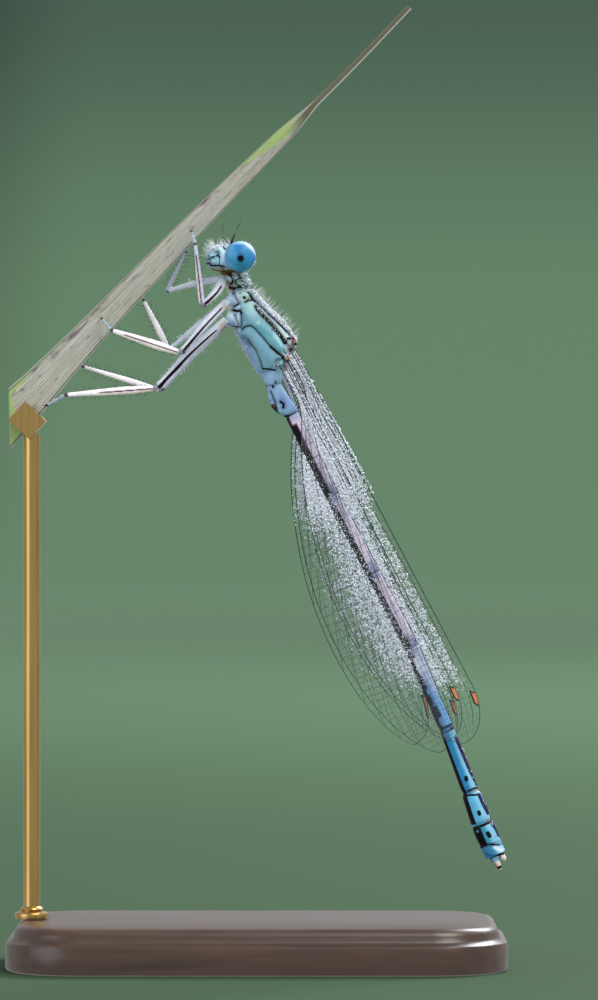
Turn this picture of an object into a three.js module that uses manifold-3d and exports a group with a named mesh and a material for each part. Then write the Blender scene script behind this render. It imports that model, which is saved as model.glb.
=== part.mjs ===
// A life-size display model of a male white-legged damselfly, roosting head up on a slanting blade
// of dry grass, with its wings closed beside its abdomen. A small oval-cornered plinth and one rod
// hold the cut blade, as a museum mounts such a specimen.
//
// Millimetres, +Z up. The animal's middle plane is y = 0. Its left side faces -Y, its face looks
// towards -X and its abdomen hangs down towards +X. z = 0 is the underside of the plinth.
import * as THREE from "three";
import { mergeVertices } from "three/addons/utils/BufferGeometryUtils.js";
import Module from "manifold-3d";

const wasm = await Module();
wasm.setup();

// ---------------------------------------------------------------- driving dimensions

const GAP = 0.05; // the thin cut between neighbouring pieces
const NEAR = -1; // the animal's left side, towards -Y
const FAR = 1; // its right side
const SIDES = { left: NEAR, right: FAR };

const PLINTH = { length: 26.04, width: 15, height: 2.4, corner: 4, bevel: 0.25 };
const ROD = { x: -11.8, radius: 0.45, foot_radius: 0.9, foot_height: 0.5, into_clip: 0.3 };
const CLIP = { share: 0.02, length: 1.3, width: 1.5, depth: 1.3, slot: 0.66, floor: 0.4, drop: 0.75 };

// The blade of grass: a long leaf cut off upright at its foot, which narrows and then twists until
// it stands edge on. These are [x, z] of its midrib, from the foot up.
const BLADE_MIDRIB = [
  [-12.98, 28.6],
  [-9.44, 32.4],
  [-5.4, 36.62],
  [-1.37, 40.74],
  [2.04, 44.1],
  [5.2, 47.24],
  [8, 50.16],
];
const BLADE = { thickness: 0.5, cut_lean_deg: 45, twist_deg: 78, twist_from: 0.68, twist_to: 0.8 };
// How wide the leaf is at shares of its length.
const BLADE_WIDTHS = [
  [0, 2.3],
  [0.07, 2.05],
  [0.2, 1.6],
  [0.38, 1.34],
  [0.55, 1.1],
  [0.7, 0.86],
  [1, 0.6],
];

const HEAD = { x: -1.21, z: 37.07, turn_deg: 14.5 };
const EYE = { side: 1.38, length: 0.82, width: 0.8, height: 0.81 };
// Rows of the head capsule from the back to the upper lip: place along it, half width, low, high.
const HEAD_ROWS = [
  [-0.6, 0.4, -0.35, 0.3],
  [-0.5, 0.86, -0.56, 0.5],
  [-0.15, 1.12, -0.72, 0.68],
  [0.3, 1.08, -0.77, 0.75],
  [0.65, 0.98, -0.79, 0.73],
  [0.92, 0.88, -0.8, 0.66],
  [1.16, 0.8, -0.79, 0.5],
  [1.36, 0.68, -0.75, 0.26],
  [1.48, 0.44, -0.62, 0],
];
const FEELER = { forward: 0.33, side: 0.75, up: 0.66, length: 1.5, radius: 0.25 };
const FEELER_WAY = new THREE.Vector3(-0.11, 0.9, 1); // forward, outward, up

const NECK = { x: -0.98, z: 36.24, lean_deg: 20 };
// Rows of the prothorax: place down it, half width, reach to the belly side, reach to the back.
const NECK_ROWS = [
  [0, 0.26, 0.22, 0.24],
  [0.08, 0.42, 0.38, 0.4],
  [0.26, 0.57, 0.42, 0.52],
  [0.38, 0.54, 0.42, 0.45],
  [0.54, 0.67, 0.45, 0.52],
  [0.72, 0.6, 0.42, 0.44],
  [0.82, 0.46, 0.34, 0.34],
];

const THORAX = { x: -0.89, z: 35.27, lean_deg: 23 };
const THORAX_ROWS = [
  [-0.04, 0.42, 0.5, 0.42],
  [0.12, 0.68, 0.74, 0.66],
  [0.52, 0.85, 0.94, 0.86],
  [1, 0.96, 1.02, 1.03],
  [1.6, 1.03, 1.08, 1.28],
  [2.3, 1.05, 1.07, 1.56],
  [3, 1.03, 1.01, 1.75],
  [3.45, 0.98, 0.96, 1.8],
  [3.8, 0.92, 0.93, 1.5],
  [4.1, 0.82, 0.9, 1.12],
  [4.36, 0.64, 0.76, 0.74],
  [4.48, 0.44, 0.52, 0.42],
];
const THORAX_POWERS = { back: 1.75, belly: 2.3 }; // a keeled back and a flatter belly
// Knobs on the two thorax pieces that carry the legs and wings: [x, |y|, z] and radii.
const FRONT_COXA = { at: [-1.4, 0.34, 35.78], radii: [0.4, 0.27, 0.46] };
const MIDDLE_COXA = { at: [-1.32, 0.42, 34.86], radii: [0.38, 0.3, 0.4] };
const HIND_COXA = { at: [-1.27, 0.42, 33.82], radii: [0.42, 0.33, 0.48] };
const FORE_HINGE = { at: [1.73, 0.5, 32.56], radii: [0.46, 0.28, 0.46] };
const HIND_HINGE = { at: [1.44, 0.6, 31.83], radii: [0.42, 0.34, 0.4] };

const ABDOMEN = { x: 0.79, z: 31.18 };
// The ten segments from the thorax to the tip: length, lean from the vertical in degrees, then
// half width and half height at the front and back of the segment.
const SEGMENTS = [
  { length: 0.86, lean: 3, front: [0.5, 0.56], back: [0.43, 0.46] },
  { length: 1.87, lean: 33.6, front: [0.41, 0.43], back: [0.39, 0.4] },
  { length: 4.73, lean: 26.3, front: [0.38, 0.38], back: [0.39, 0.39] },
  { length: 4.57, lean: 28, front: [0.38, 0.39], back: [0.4, 0.4] },
  { length: 4.38, lean: 27.8, front: [0.39, 0.4], back: [0.41, 0.41] },
  { length: 4.62, lean: 22.9, front: [0.4, 0.4], back: [0.41, 0.4] },
  { length: 3.54, lean: 20.8, front: [0.39, 0.39], back: [0.46, 0.47] },
  { length: 1.78, lean: 19.8, front: [0.49, 0.52], back: [0.57, 0.6] },
  { length: 1.14, lean: 23, front: [0.58, 0.61], back: [0.61, 0.62] },
  { length: 0.64, lean: 25, front: [0.61, 0.61], back: [0.55, 0.56] },
];
const SEGMENT_SIDES = 14;
const ACCESSORY_SWELL = 0.36; // the second segment's belly carries the male's accessory organ
// The two pairs of claspers at the tip: where they start beside and above the axis, and their size.
const CLASPERS = [
  { side: 0.22, up: 0.27, length: 0.56, radius: 0.175, droop: 0.03 },
  { side: 0.2, up: -0.15, length: 0.92, radius: 0.22, droop: 0.02 },
];

const WING_THICKNESS = 0.5;
// How wide a wing is, as a share of its greatest width, at shares of its length.
const WING_PROFILE = [
  [0, 0.13],
  [0.12, 0.15],
  [0.2, 0.38],
  [0.28, 0.59],
  [0.37, 0.76],
  [0.46, 0.89],
  [0.55, 0.97],
  [0.65, 1],
  [0.75, 0.97],
  [0.82, 0.91],
  [0.88, 0.82],
  [0.93, 0.71],
  [0.965, 0.6],
  [0.985, 0.52],
  [1, 0.43],
];
const WING_TIP = { start: 0.89, share: 0.4 }; // where the leading edge curves in, and how far
// Each wing's hinge end is [x, z] of its leading edge; out is how far it and its root stand from
// the middle plane. The hindwings lie outside the forewings.
const FOREWING = { out: 0.77, root_out: 0.77 };
const HINDWING = { out: 1.34, root_out: 1.24 };
const WINGS = {
  forewing_left: { ...FOREWING, root: [1.89, 32.49], lean: 27.8, length: 22.6, width: 4.3 },
  forewing_right: { ...FOREWING, root: [1.62, 32.23], lean: 25.4, length: 22.5, width: 4.4 },
  hindwing_left: { ...HINDWING, root: [1.6, 31.58], lean: 27.2, length: 21.4, width: 3.65 },
  hindwing_right: { ...HINDWING, root: [1.42, 31.52], lean: 23, length: 21.1, width: 3.6 },
};
const WING_SPREAD_BY = 0.06; // share of the length over which a wing moves out to its own plane

const LEG = { sides: 8, femur: 0.26, tibia: 0.25, tarsus: 0.25 };
// Where each leg's hip, knee, ankle and claw are: [x, |y|, z]. Left legs grip the near face of the
// blade and right legs its far face.
const LEGS = {
  front_left: { hip: [-1.68, 0.55, 35.96], knee: [-2.84, 2.1, 34.48], bend: [-2.12, 1.3, 35.2],
    ankle: [-3.22, 0.82, 37.75], claw: [-3.42, 0.6, 38.42] },
  front_right: { hip: [-1.8, 0.58, 35.98], knee: [-4.78, 1.35, 35.36], bend: [-3.2, 1.1, 35.78],
    ankle: [-3.72, 0.85, 37.42], claw: [-3.3, 0.6, 38.05] },
  middle_left: { hip: [-1.78, 0.72, 34.68], knee: [-3.95, 2.15, 32.02], bend: [-2.75, 1.5, 33.45],
    ankle: [-7.6, 0.86, 33.24], claw: [-8.12, 0.6, 33.86] },
  middle_right: { hip: [-1.8, 0.72, 34.62], knee: [-4.66, 1.95, 32.28], bend: [-3.22, 1.45, 33.48],
    ankle: [-5.98, 0.86, 34.9], claw: [-6.32, 0.6, 35.6] },
  hind_left: { hip: [-1.84, 0.74, 33.72], knee: [-5.24, 1.55, 30.2], bend: [-3.46, 1.25, 32.12],
    ankle: [-10.0, 0.84, 29.86], claw: [-11.04, 0.6, 29.3] },
  hind_right: { hip: [-1.87, 0.76, 33.55], knee: [-5.08, 1.65, 30.14], bend: [-3.42, 1.3, 31.92],
    ankle: [-9.2, 0.86, 31.4], claw: [-9.9, 0.6, 31.95] },
};

// ---------------------------------------------------------------- materials

const finish = (color, roughness, metalness = 0) =>
  new THREE.MeshStandardMaterial({ color, roughness, metalness });

const MATERIALS = {
  eye: finish(0x3f8fc4, 0.2),
  head: finish(0x8fc3d4, 0.45),
  feeler: finish(0x1c1a1c, 0.5),
  thorax: finish(0x86b9bd, 0.45),
  abdomen_base: finish(0x84a9d2, 0.45),
  abdomen_pale: finish(0xc9bfd2, 0.5),
  abdomen_blue: finish(0x5fb0d8, 0.4),
  leg: finish(0xdcdce6, 0.5),
  wing: finish(0xc4d2d2, 0.3),
  grass: finish(0xa7a491, 0.8),
  plinth: finish(0x2b211b, 0.4),
  brass: finish(0xb08d4c, 0.35, 1),
};

// ---------------------------------------------------------------- shape tools

const radians = THREE.MathUtils.degToRad;
const place = (x, y, z) => new THREE.Vector3(x, y, z);

// A number read from a table of [share, value] pairs, with straight lines between them.
function between(table, share) {
  const next = table.findIndex(([at]) => at >= share);
  if (next <= 0) return table[next === 0 ? 0 : table.length - 1][1];
  const [low, first] = table[next - 1];
  const [high, second] = table[next];
  return first + ((second - first) * (share - low)) / (high - low);
}

const signedPower = (value, power) =>
  Math.abs(value) < 1e-9 ? 0 : Math.sign(value) * Math.abs(value) ** power;

// A closed tube: a cylinder whose rows are laid over a list of oval sections. A section is
// { at, along, up, width, top, bottom } with half sizes, and powers that square or point its oval.
function loft(sections, sides) {
  const last = sections.length - 1;
  const geometry = new THREE.CylinderGeometry(1, 1, 1, sides, last);
  const position = geometry.getAttribute("position");
  const point = new THREE.Vector3();
  for (let i = 0; i < position.count; i++) {
    point.fromBufferAttribute(position, i);
    const section = sections[Math.round((0.5 - point.y) * last)];
    const { at, along, up, width, top, bottom, topPower = 2, bottomPower = 2 } = section;
    const reach = Math.hypot(point.x, point.z); // 1 on the wall and 0 at a cap's middle
    const angle = Math.atan2(point.z, point.x);
    const power = 2 / (point.z >= 0 ? topPower : bottomPower);
    const sideways = width * signedPower(Math.cos(angle), power) * reach;
    const height = (point.z >= 0 ? top : bottom) * signedPower(Math.sin(angle), power) * reach;
    const side = new THREE.Vector3().crossVectors(up, along);
    point.copy(at).addScaledVector(side, sideways).addScaledVector(up, height);
    position.setXYZ(i, point.x, point.y, point.z);
  }
  return geometry;
}

// A geometry as a manifold-3d solid, for joining and cutting.
function solid(geometry) {
  const bare = geometry.clone();
  bare.deleteAttribute("normal");
  bare.deleteAttribute("uv");
  const merged = mergeVertices(bare, 1e-4);
  return new wasm.Manifold(
    new wasm.Mesh({
      numProp: 3,
      vertProperties: new Float32Array(merged.getAttribute("position").array),
      triVerts: new Uint32Array(merged.index.array),
    }),
  );
}

// A manifold-3d solid as a geometry.
function geometryOf(made) {
  const { vertProperties, triVerts } = made.getMesh();
  const geometry = new THREE.BufferGeometry();
  geometry.setAttribute("position", new THREE.BufferAttribute(vertProperties, 3));
  geometry.setIndex(new THREE.BufferAttribute(triVerts, 1));
  return geometry;
}

function ovoid(centre, radii, grow, columns, rows) {
  const geometry = new THREE.SphereGeometry(1, columns, rows);
  geometry.scale(radii[0] + grow, radii[1] + grow, radii[2] + grow);
  return geometry.translate(centre.x, centre.y, centre.z);
}

// One knob on each side of the middle plane, joined to a solid.
function withKnobs(body, knob, grow = 0) {
  const [x, y, z] = knob.at;
  return Object.values(SIDES).reduce(
    (made, side) => made.add(solid(ovoid(place(x, y * side, z), knob.radii, grow, 8, 6))),
    body,
  );
}

// Sections down a straight axis in the middle plane, from rows of place, half width, belly, back.
function trunkSections({ x, z, lean_deg }, rows, grow = 0, powers = { back: 2, belly: 2 }) {
  const lean = radians(lean_deg);
  const along = place(Math.sin(lean), 0, -Math.cos(lean));
  const up = place(Math.cos(lean), 0, Math.sin(lean));
  return rows.map(([t, width, belly, back], i) => {
    const end = i === 0 ? -grow : i === rows.length - 1 ? grow : 0;
    return {
      at: place(x, 0, z).addScaledVector(along, t + end),
      along,
      up,
      width: width + grow,
      top: back + grow,
      bottom: belly + grow,
      topPower: powers.back,
      bottomPower: powers.belly,
    };
  });
}

// ---------------------------------------------------------------- head

// The head's own axes: forward to the face, left towards the near side, and up.
const turn = radians(HEAD.turn_deg);
const HEAD_FORWARD = place(-Math.cos(turn), -Math.sin(turn), 0);
const HEAD_UP = place(0, 0, 1);
const HEAD_LEFT = new THREE.Vector3().crossVectors(HEAD_UP, HEAD_FORWARD);

const headPoint = (forward, left, up) =>
  place(HEAD.x, 0, HEAD.z)
    .addScaledVector(HEAD_FORWARD, forward)
    .addScaledVector(HEAD_LEFT, left)
    .addScaledVector(HEAD_UP, up);

function eyeGeometry(side, grow = 0) {
  const { length, width, height } = EYE;
  const eye = ovoid(place(0, 0, 0), [length, width, height], grow, 18, 12);
  const centre = headPoint(0, -side * EYE.side, 0);
  return eye.rotateZ(turn).translate(centre.x, centre.y, centre.z);
}

function headSolid(grow = 0) {
  const sections = HEAD_ROWS.map(([t, width, low, high], i) => {
    const end = i === 0 ? -grow : i === HEAD_ROWS.length - 1 ? grow : 0;
    return {
      at: headPoint(t + end, 0, (low + high) / 2),
      along: HEAD_FORWARD,
      up: HEAD_UP,
      width: width + grow,
      top: (high - low) / 2 + grow,
      bottom: (high - low) / 2 + grow,
      topPower: 2.5,
      bottomPower: 2.5,
    };
  });
  return solid(loft(sections, 18));
}

// The head capsule, hollowed on both sides for the eyes.
function headGeometry() {
  const capsule = Object.values(SIDES).reduce(
    (made, side) => made.subtract(solid(eyeGeometry(side, GAP))),
    headSolid(),
  );
  return geometryOf(capsule);
}

// A short, stout feeler that stands out and up from beside the eye.
function feelerGeometry(side) {
  const { forward, side: out, up, length, radius } = FEELER;
  const start = headPoint(forward, -side * out, up);
  const way = new THREE.Vector3()
    .addScaledVector(HEAD_FORWARD, FEELER_WAY.x)
    .addScaledVector(HEAD_LEFT, -side * FEELER_WAY.y)
    .addScaledVector(HEAD_UP, FEELER_WAY.z)
    .normalize();
  const across = new THREE.Vector3().crossVectors(way, HEAD_FORWARD).normalize();
  const rows = [
    [0, 1],
    [0.75, 1],
    [0.94, 0.8],
    [1, 0.45],
  ];
  const sections = rows.map(([share, size]) => ({
    at: start.clone().addScaledVector(way, share * length),
    along: way,
    up: across,
    width: radius * size,
    top: radius * size,
    bottom: radius * size,
  }));
  const whole = solid(loft(sections, 8));
  return geometryOf(whole.subtract(headSolid(GAP)).subtract(solid(eyeGeometry(side, GAP))));
}

// ---------------------------------------------------------------- thorax

function prothoraxSolid(grow = 0) {
  const trunk = solid(loft(trunkSections(NECK, NECK_ROWS, grow), 16));
  return withKnobs(trunk, FRONT_COXA, grow);
}

function pterothoraxSolid(grow = 0) {
  const sections = trunkSections(THORAX, THORAX_ROWS, grow, THORAX_POWERS);
  const trunk = solid(loft(sections, 20));
  const knobs = [MIDDLE_COXA, HIND_COXA, FORE_HINGE, HIND_HINGE];
  return knobs.reduce((made, knob) => withKnobs(made, knob, grow), trunk);
}

// ---------------------------------------------------------------- abdomen

// Where each segment starts, and its own axes.
function segmentAxes() {
  const at = place(ABDOMEN.x, 0, ABDOMEN.z);
  return SEGMENTS.map((segment) => {
    const lean = radians(segment.lean);
    const along = place(Math.sin(lean), 0, -Math.cos(lean));
    const up = place(Math.cos(lean), 0, Math.sin(lean));
    const start = at.clone();
    at.addScaledVector(along, segment.length);
    return { start, along, up };
  });
}

// Each segment swells a little at both rims. The cut faces lie midway between two segments' leans,
// so that neighbours meet evenly all round.
function segmentSolid(index, axes) {
  const { length, front, back } = SEGMENTS[index];
  const { start, along, up } = axes[index];
  const before = axes[Math.max(index - 1, 0)];
  const after = axes[Math.min(index + 1, axes.length - 1)];
  const rows = [
    [GAP / 2, 0.95, before],
    [GAP / 2 + 0.07, 1.02, null],
    [length * 0.3, 0.985, null],
    [length * 0.7, 0.985, null],
    [length - GAP / 2 - 0.07, 1.03, null],
    [length - GAP / 2, 0.95, after],
  ];
  const sections = rows.map(([t, size, neighbour]) => {
    const share = t / length;
    const width = (front[0] + (back[0] - front[0]) * share) * size;
    const height = (front[1] + (back[1] - front[1]) * share) * size;
    const swell = index === 1 ? ACCESSORY_SWELL * Math.sin(Math.PI * share) ** 1.5 : 0;
    const facing = neighbour ? along.clone().add(neighbour.along).normalize() : along;
    const raised = neighbour ? up.clone().add(neighbour.up).normalize() : up;
    return {
      at: start.clone().addScaledVector(along, t),
      along: facing,
      up: raised,
      width,
      top: height,
      bottom: height + swell,
    };
  });
  return solid(loft(sections, SEGMENT_SIDES));
}

// The last segment carries two pairs of claspers.
function withClaspers(segment, { start, along, up }) {
  const end = start.clone().addScaledVector(along, SEGMENTS.at(-1).length - 0.12);
  let made = segment;
  for (const side of Object.values(SIDES)) {
    for (const { side: out, up: lift, length, radius, droop } of CLASPERS) {
      const sections = [0, 0.5, 1].map((share) => ({
        at: end
          .clone()
          .addScaledVector(along, share * (length + 0.12))
          .addScaledVector(up, lift + droop * share)
          .add(place(0, side * out, 0)),
        along,
        up,
        width: radius * (1.05 - 0.5 * share * share),
        top: radius * (1.15 - 0.6 * share * share),
        bottom: radius * (1.15 - 0.6 * share * share),
      }));
      made = made.add(solid(loft(sections, 6)));
    }
  }
  return made;
}

// ---------------------------------------------------------------- wings

// A wing as a thin slab in a plane beside the abdomen. Its leading edge is straight and lies to the
// back, and its trailing edge swells out and rounds into the tip.
function wingGeometry(name) {
  const { root, lean, length, width, out, root_out: rootOut } = WINGS[name];
  const side = SIDES[name.split("_")[1]];
  const angle = radians(lean);
  const along = place(Math.sin(angle), 0, -Math.cos(angle));
  const toLeading = place(Math.cos(angle), 0, Math.sin(angle));
  const shares = [0, 0.06, 0.14, 0.2, 0.28, 0.37, 0.46, 0.55, 0.65, 0.75, 0.82, 0.88, 0.93, 0.965, 0.985, 1];
  const sections = shares.map((share) => {
    const trailing = between(WING_PROFILE, share);
    const beyond = Math.max(0, (share - WING_TIP.start) / (1 - WING_TIP.start));
    const leading = WING_TIP.share * (1 - Math.sqrt(1 - beyond ** 2));
    const spread = THREE.MathUtils.smoothstep(share, 0, WING_SPREAD_BY);
    return {
      at: place(root[0], side * (rootOut + (out - rootOut) * spread), root[1])
        .addScaledVector(along, share * length)
        .addScaledVector(toLeading, (-width * (trailing + leading)) / 2),
      along,
      up: toLeading,
      width: WING_THICKNESS / 2,
      top: (width * (trailing - leading)) / 2,
      bottom: (width * (trailing - leading)) / 2,
      topPower: 9,
      bottomPower: 9,
    };
  });
  return loft(sections, 8);
}

// ---------------------------------------------------------------- legs

// A limb along a smooth curve through points, with rounded ends.
function limbSolid(points, radius, steps, grow = 0) {
  const curve = new THREE.CatmullRomCurve3(points);
  const end = (radius * 0.6) / curve.getLength();
  const middle = Array.from({ length: steps - 1 }, (_, i) => end + ((1 - 2 * end) * (i + 1)) / steps);
  const shares = [0, end, ...middle, 1 - end, 1];
  const sections = shares.map((share) => {
    const along = curve.getTangentAt(share);
    const side = new THREE.Vector3().crossVectors(place(0, -1, 0), along).normalize();
    const tip = share === 0 || share === 1;
    const size = radius * (tip ? 0.6 : 1) + grow;
    return {
      at: curve.getPointAt(share).addScaledVector(along, tip ? Math.sign(share - 0.5) * grow : 0),
      along,
      up: new THREE.Vector3().crossVectors(along, side),
      width: size,
      top: size,
      bottom: size,
    };
  });
  return solid(loft(sections, LEG.sides));
}

// Femur, tibia and tarsus of one leg, each cut back where it meets the piece before it.
function legPieces(name, thoraxGrown) {
  const side = SIDES[name.split("_")[1]];
  const at = Object.fromEntries(
    Object.entries(LEGS[name]).map(([joint, [x, y, z]]) => [joint, place(x, side * y, z)]),
  );
  const thigh = [at.hip, at.bend, at.knee];
  const shin = [at.knee, at.ankle];
  const foot = [at.ankle, at.claw];
  return {
    femur: limbSolid(thigh, LEG.femur, 4).subtract(thoraxGrown),
    tibia: limbSolid(shin, LEG.tibia, 1).subtract(limbSolid(thigh, LEG.femur, 4, GAP)),
    tarsus: limbSolid(foot, LEG.tarsus, 1).subtract(limbSolid(shin, LEG.tibia, 1, GAP)),
  };
}

// ---------------------------------------------------------------- perch and stand

const midrib = new THREE.CatmullRomCurve3(BLADE_MIDRIB.map(([x, z]) => place(x, 0, z)));

// The blade's own axes at a share of its length: along it, and across its face.
function bladeAxes(share) {
  const along = midrib.getTangentAt(share);
  const across = place(-along.z, 0, along.x);
  const turned = THREE.MathUtils.smoothstep(share, BLADE.twist_from, BLADE.twist_to);
  return { along, across: across.applyAxisAngle(along, turned * radians(BLADE.twist_deg)) };
}

// The foot is cut off upright; the other sections lie square to the midrib.
function bladeGeometry() {
  const shares = [0, 0.07, 0.2, 0.3, 0.4, 0.5, 0.6, 0.68, 0.72, 0.76, 0.8, 0.87, 0.94, 1];
  const sections = shares.map((share) => {
    const { along, across } = bladeAxes(share);
    const cut = share === 0 ? radians(BLADE.cut_lean_deg) : 0;
    const half = between(BLADE_WIDTHS, share) / 2 / Math.cos(cut);
    return {
      at: midrib.getPointAt(share),
      along: along.clone().applyAxisAngle(place(0, 1, 0), cut),
      up: across.clone().applyAxisAngle(place(0, 1, 0), cut),
      width: BLADE.thickness / 2,
      top: half,
      bottom: half,
      topPower: 3,
      bottomPower: 3,
    };
  });
  return loft(sections, 12);
}

function roundedSlab(length, width, height, corner, bevel) {
  const x = length / 2 - bevel;
  const y = width / 2 - bevel;
  const r = corner - bevel;
  const outline = new THREE.Shape();
  outline.moveTo(-x + r, -y);
  outline.lineTo(x - r, -y);
  outline.absarc(x - r, -y + r, r, -Math.PI / 2, 0);
  outline.lineTo(x, y - r);
  outline.absarc(x - r, y - r, r, 0, Math.PI / 2);
  outline.lineTo(-x + r, y);
  outline.absarc(-x + r, y - r, r, Math.PI / 2, Math.PI);
  outline.lineTo(-x, -y + r);
  outline.absarc(-x + r, -y + r, r, Math.PI, 1.5 * Math.PI);
  return new THREE.ExtrudeGeometry(outline, {
    depth: height - 2 * bevel,
    bevelEnabled: true,
    bevelThickness: bevel,
    bevelSize: bevel,
    bevelSegments: 1,
    curveSegments: 5,
  }).translate(0, 0, bevel);
}

// The clip holds the blade's lower edge, straight over the rod.
const CLIP_AXES = bladeAxes(CLIP.share);
const CLIP_AT = midrib.getPointAt(CLIP.share).addScaledVector(CLIP_AXES.across, -CLIP.drop);

// A small block, slotted for the blade, on top of the rod.
function clipGeometry() {
  const { length, width, depth, slot, floor } = CLIP;
  const tilt = -Math.atan2(CLIP_AXES.along.z, CLIP_AXES.along.x);
  const block = new THREE.BoxGeometry(length, depth, width).rotateY(tilt);
  const opening = new THREE.BoxGeometry(length * 2, slot, width).translate(0, 0, floor).rotateY(tilt);
  const cut = solid(opening.translate(CLIP_AT.x, 0, CLIP_AT.z));
  return solid(block.translate(CLIP_AT.x, 0, CLIP_AT.z)).subtract(cut);
}

// A round rod with a turned foot, from the plinth up to the clip.
function rodSolid() {
  const low = PLINTH.height + GAP;
  const { x, radius, foot_radius: foot, foot_height: step, into_clip: into } = ROD;
  const clipHalfHeight = (CLIP.length * CLIP_AXES.along.z + CLIP.width * CLIP_AXES.across.z) / 2;
  const high = CLIP_AT.z - clipHalfHeight + into;
  const profile = [
    [0, low],
    [foot, low],
    [foot, low + step * 0.6],
    [radius, low + step],
    [radius, high],
    [0, high],
  ].map(([r, z]) => new THREE.Vector2(r, z));
  const rod = new THREE.LatheGeometry(profile, 16).rotateX(Math.PI / 2).translate(x, 0, 0);
  const tilt = -Math.atan2(CLIP_AXES.along.z, CLIP_AXES.along.x);
  const cleared = new THREE.BoxGeometry(CLIP.length + 2 * GAP, CLIP.depth * 2, CLIP.width + 2 * GAP);
  return solid(rod).subtract(solid(cleared.rotateY(tilt).translate(CLIP_AT.x, 0, CLIP_AT.z)));
}

// ---------------------------------------------------------------- assembly

const damselfly = new THREE.Group();

function addPiece(parent, name, shape, material) {
  const geometry = shape.isBufferGeometry ? shape : geometryOf(shape);
  const mesh = new THREE.Mesh(geometry, MATERIALS[material]);
  mesh.name = name;
  parent.add(mesh);
  return mesh;
}

addPiece(damselfly, "head", headGeometry(), "head");
for (const [label, side] of Object.entries(SIDES)) {
  addPiece(damselfly, `eye_${label}`, eyeGeometry(side), "eye");
  addPiece(damselfly, `antenna_${label}`, feelerGeometry(side), "feeler");
}

addPiece(damselfly, "prothorax", prothoraxSolid().subtract(headSolid(GAP)), "thorax");
const thorax = pterothoraxSolid().subtract(prothoraxSolid(GAP));
addPiece(damselfly, "pterothorax", thorax, "thorax");

const axes = segmentAxes();
const abdomenFinish = (index) => (index < 2 ? "abdomen_base" : index < 6 ? "abdomen_pale" : "abdomen_blue");
SEGMENTS.forEach((_, index) => {
  let segment = segmentSolid(index, axes);
  if (index === 0) segment = segment.subtract(pterothoraxSolid(GAP));
  if (index === SEGMENTS.length - 1) segment = withClaspers(segment, axes[index]);
  addPiece(damselfly, `abdomen_${index + 1}`, segment, abdomenFinish(index));
});

for (const name of Object.keys(WINGS)) {
  addPiece(damselfly, name, solid(wingGeometry(name)).subtract(pterothoraxSolid(GAP)), "wing");
}

const trunkGrown = pterothoraxSolid(GAP).add(prothoraxSolid(GAP));
for (const name of Object.keys(LEGS)) {
  for (const [part, shape] of Object.entries(legPieces(name, trunkGrown))) {
    addPiece(damselfly, `leg_${name}_${part}`, shape, "leg");
  }
}

addPiece(damselfly, "perch_blade", bladeGeometry(), "grass");
const { length, width, height, corner, bevel } = PLINTH;
addPiece(damselfly, "stand_base", roundedSlab(length, width, height, corner, bevel), "plinth");
addPiece(damselfly, "stand_rod", rodSolid(), "brass");
addPiece(damselfly, "stand_clip", clipGeometry(), "brass");

export default damselfly;
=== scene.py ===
# %% [markdown]
# # A white-legged damselfly at rest, life size
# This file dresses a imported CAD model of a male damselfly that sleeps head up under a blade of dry
# grass. The CAD solids are plain and a little stout. Here they get the insect's real surface: one
# skin with its coloured plates, glassy eyes, veined wings silvered with fine dew, hairs and bristles.
# Everything is in metres inside Blender, but an insect is easier to think about in millimetres, so
# the shapes are worked out in millimetres and scaled once, when a mesh is made.

# %% Open the frame
import math
import bpy
import numpy as np
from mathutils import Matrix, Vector


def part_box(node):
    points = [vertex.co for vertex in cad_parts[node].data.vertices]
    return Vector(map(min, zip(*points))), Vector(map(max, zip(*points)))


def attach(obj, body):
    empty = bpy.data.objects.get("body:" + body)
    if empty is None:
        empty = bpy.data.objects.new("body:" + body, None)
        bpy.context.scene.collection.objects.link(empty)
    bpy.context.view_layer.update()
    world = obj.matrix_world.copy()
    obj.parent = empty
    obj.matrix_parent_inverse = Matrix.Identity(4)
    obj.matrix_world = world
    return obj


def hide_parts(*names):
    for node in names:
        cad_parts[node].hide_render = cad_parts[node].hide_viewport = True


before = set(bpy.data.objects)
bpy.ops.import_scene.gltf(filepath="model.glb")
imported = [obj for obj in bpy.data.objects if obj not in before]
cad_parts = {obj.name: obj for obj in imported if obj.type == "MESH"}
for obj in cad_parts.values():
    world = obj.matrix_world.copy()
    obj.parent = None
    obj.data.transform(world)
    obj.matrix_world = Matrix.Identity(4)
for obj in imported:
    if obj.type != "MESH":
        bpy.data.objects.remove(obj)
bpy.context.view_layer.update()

# %% [markdown]
# ## Units and colours
# A swatch is written in sRGB, but shaders reckon in linear light. One function turns the one into
# the other, so every colour here stays a readable hex value.

# %% Units and colours
MM = 0.001
LEFT, RIGHT = -1, 1  # the animal's left side faces -Y
SIDES = {"left": LEFT, "right": RIGHT}


def linear(swatch):
    channels = [int(swatch[i:i + 2], 16) / 255 for i in (1, 3, 5)]
    return tuple(c / 12.92 if c <= 0.04045 else ((c + 0.055) / 1.055) ** 2.4 for c in channels)


def colour(swatch):
    return (*linear(swatch), 1.0)


print("middle grey in linear light:", round(linear("#808080")[0], 3))

# %% [markdown]
# ## Nodes and materials
# Nodes could be wired by hand in the editor, but a script can be run again. `add` makes one node
# with its settings and links. Many of the insect's stuffs drift between two colours in small
# clouds, so `mottled` makes those.

# %% Nodes and materials
def add(tree, kind, sockets=None, **settings):
    node = tree.nodes.new("ShaderNode" + kind)
    for name, value in settings.items():
        setattr(node, name, value)
    for socket, value in (sockets or {}).items():
        if isinstance(value, bpy.types.NodeSocket):
            tree.links.new(value, node.inputs[socket])
        else:
            node.inputs[socket].default_value = value
    return node


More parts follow.
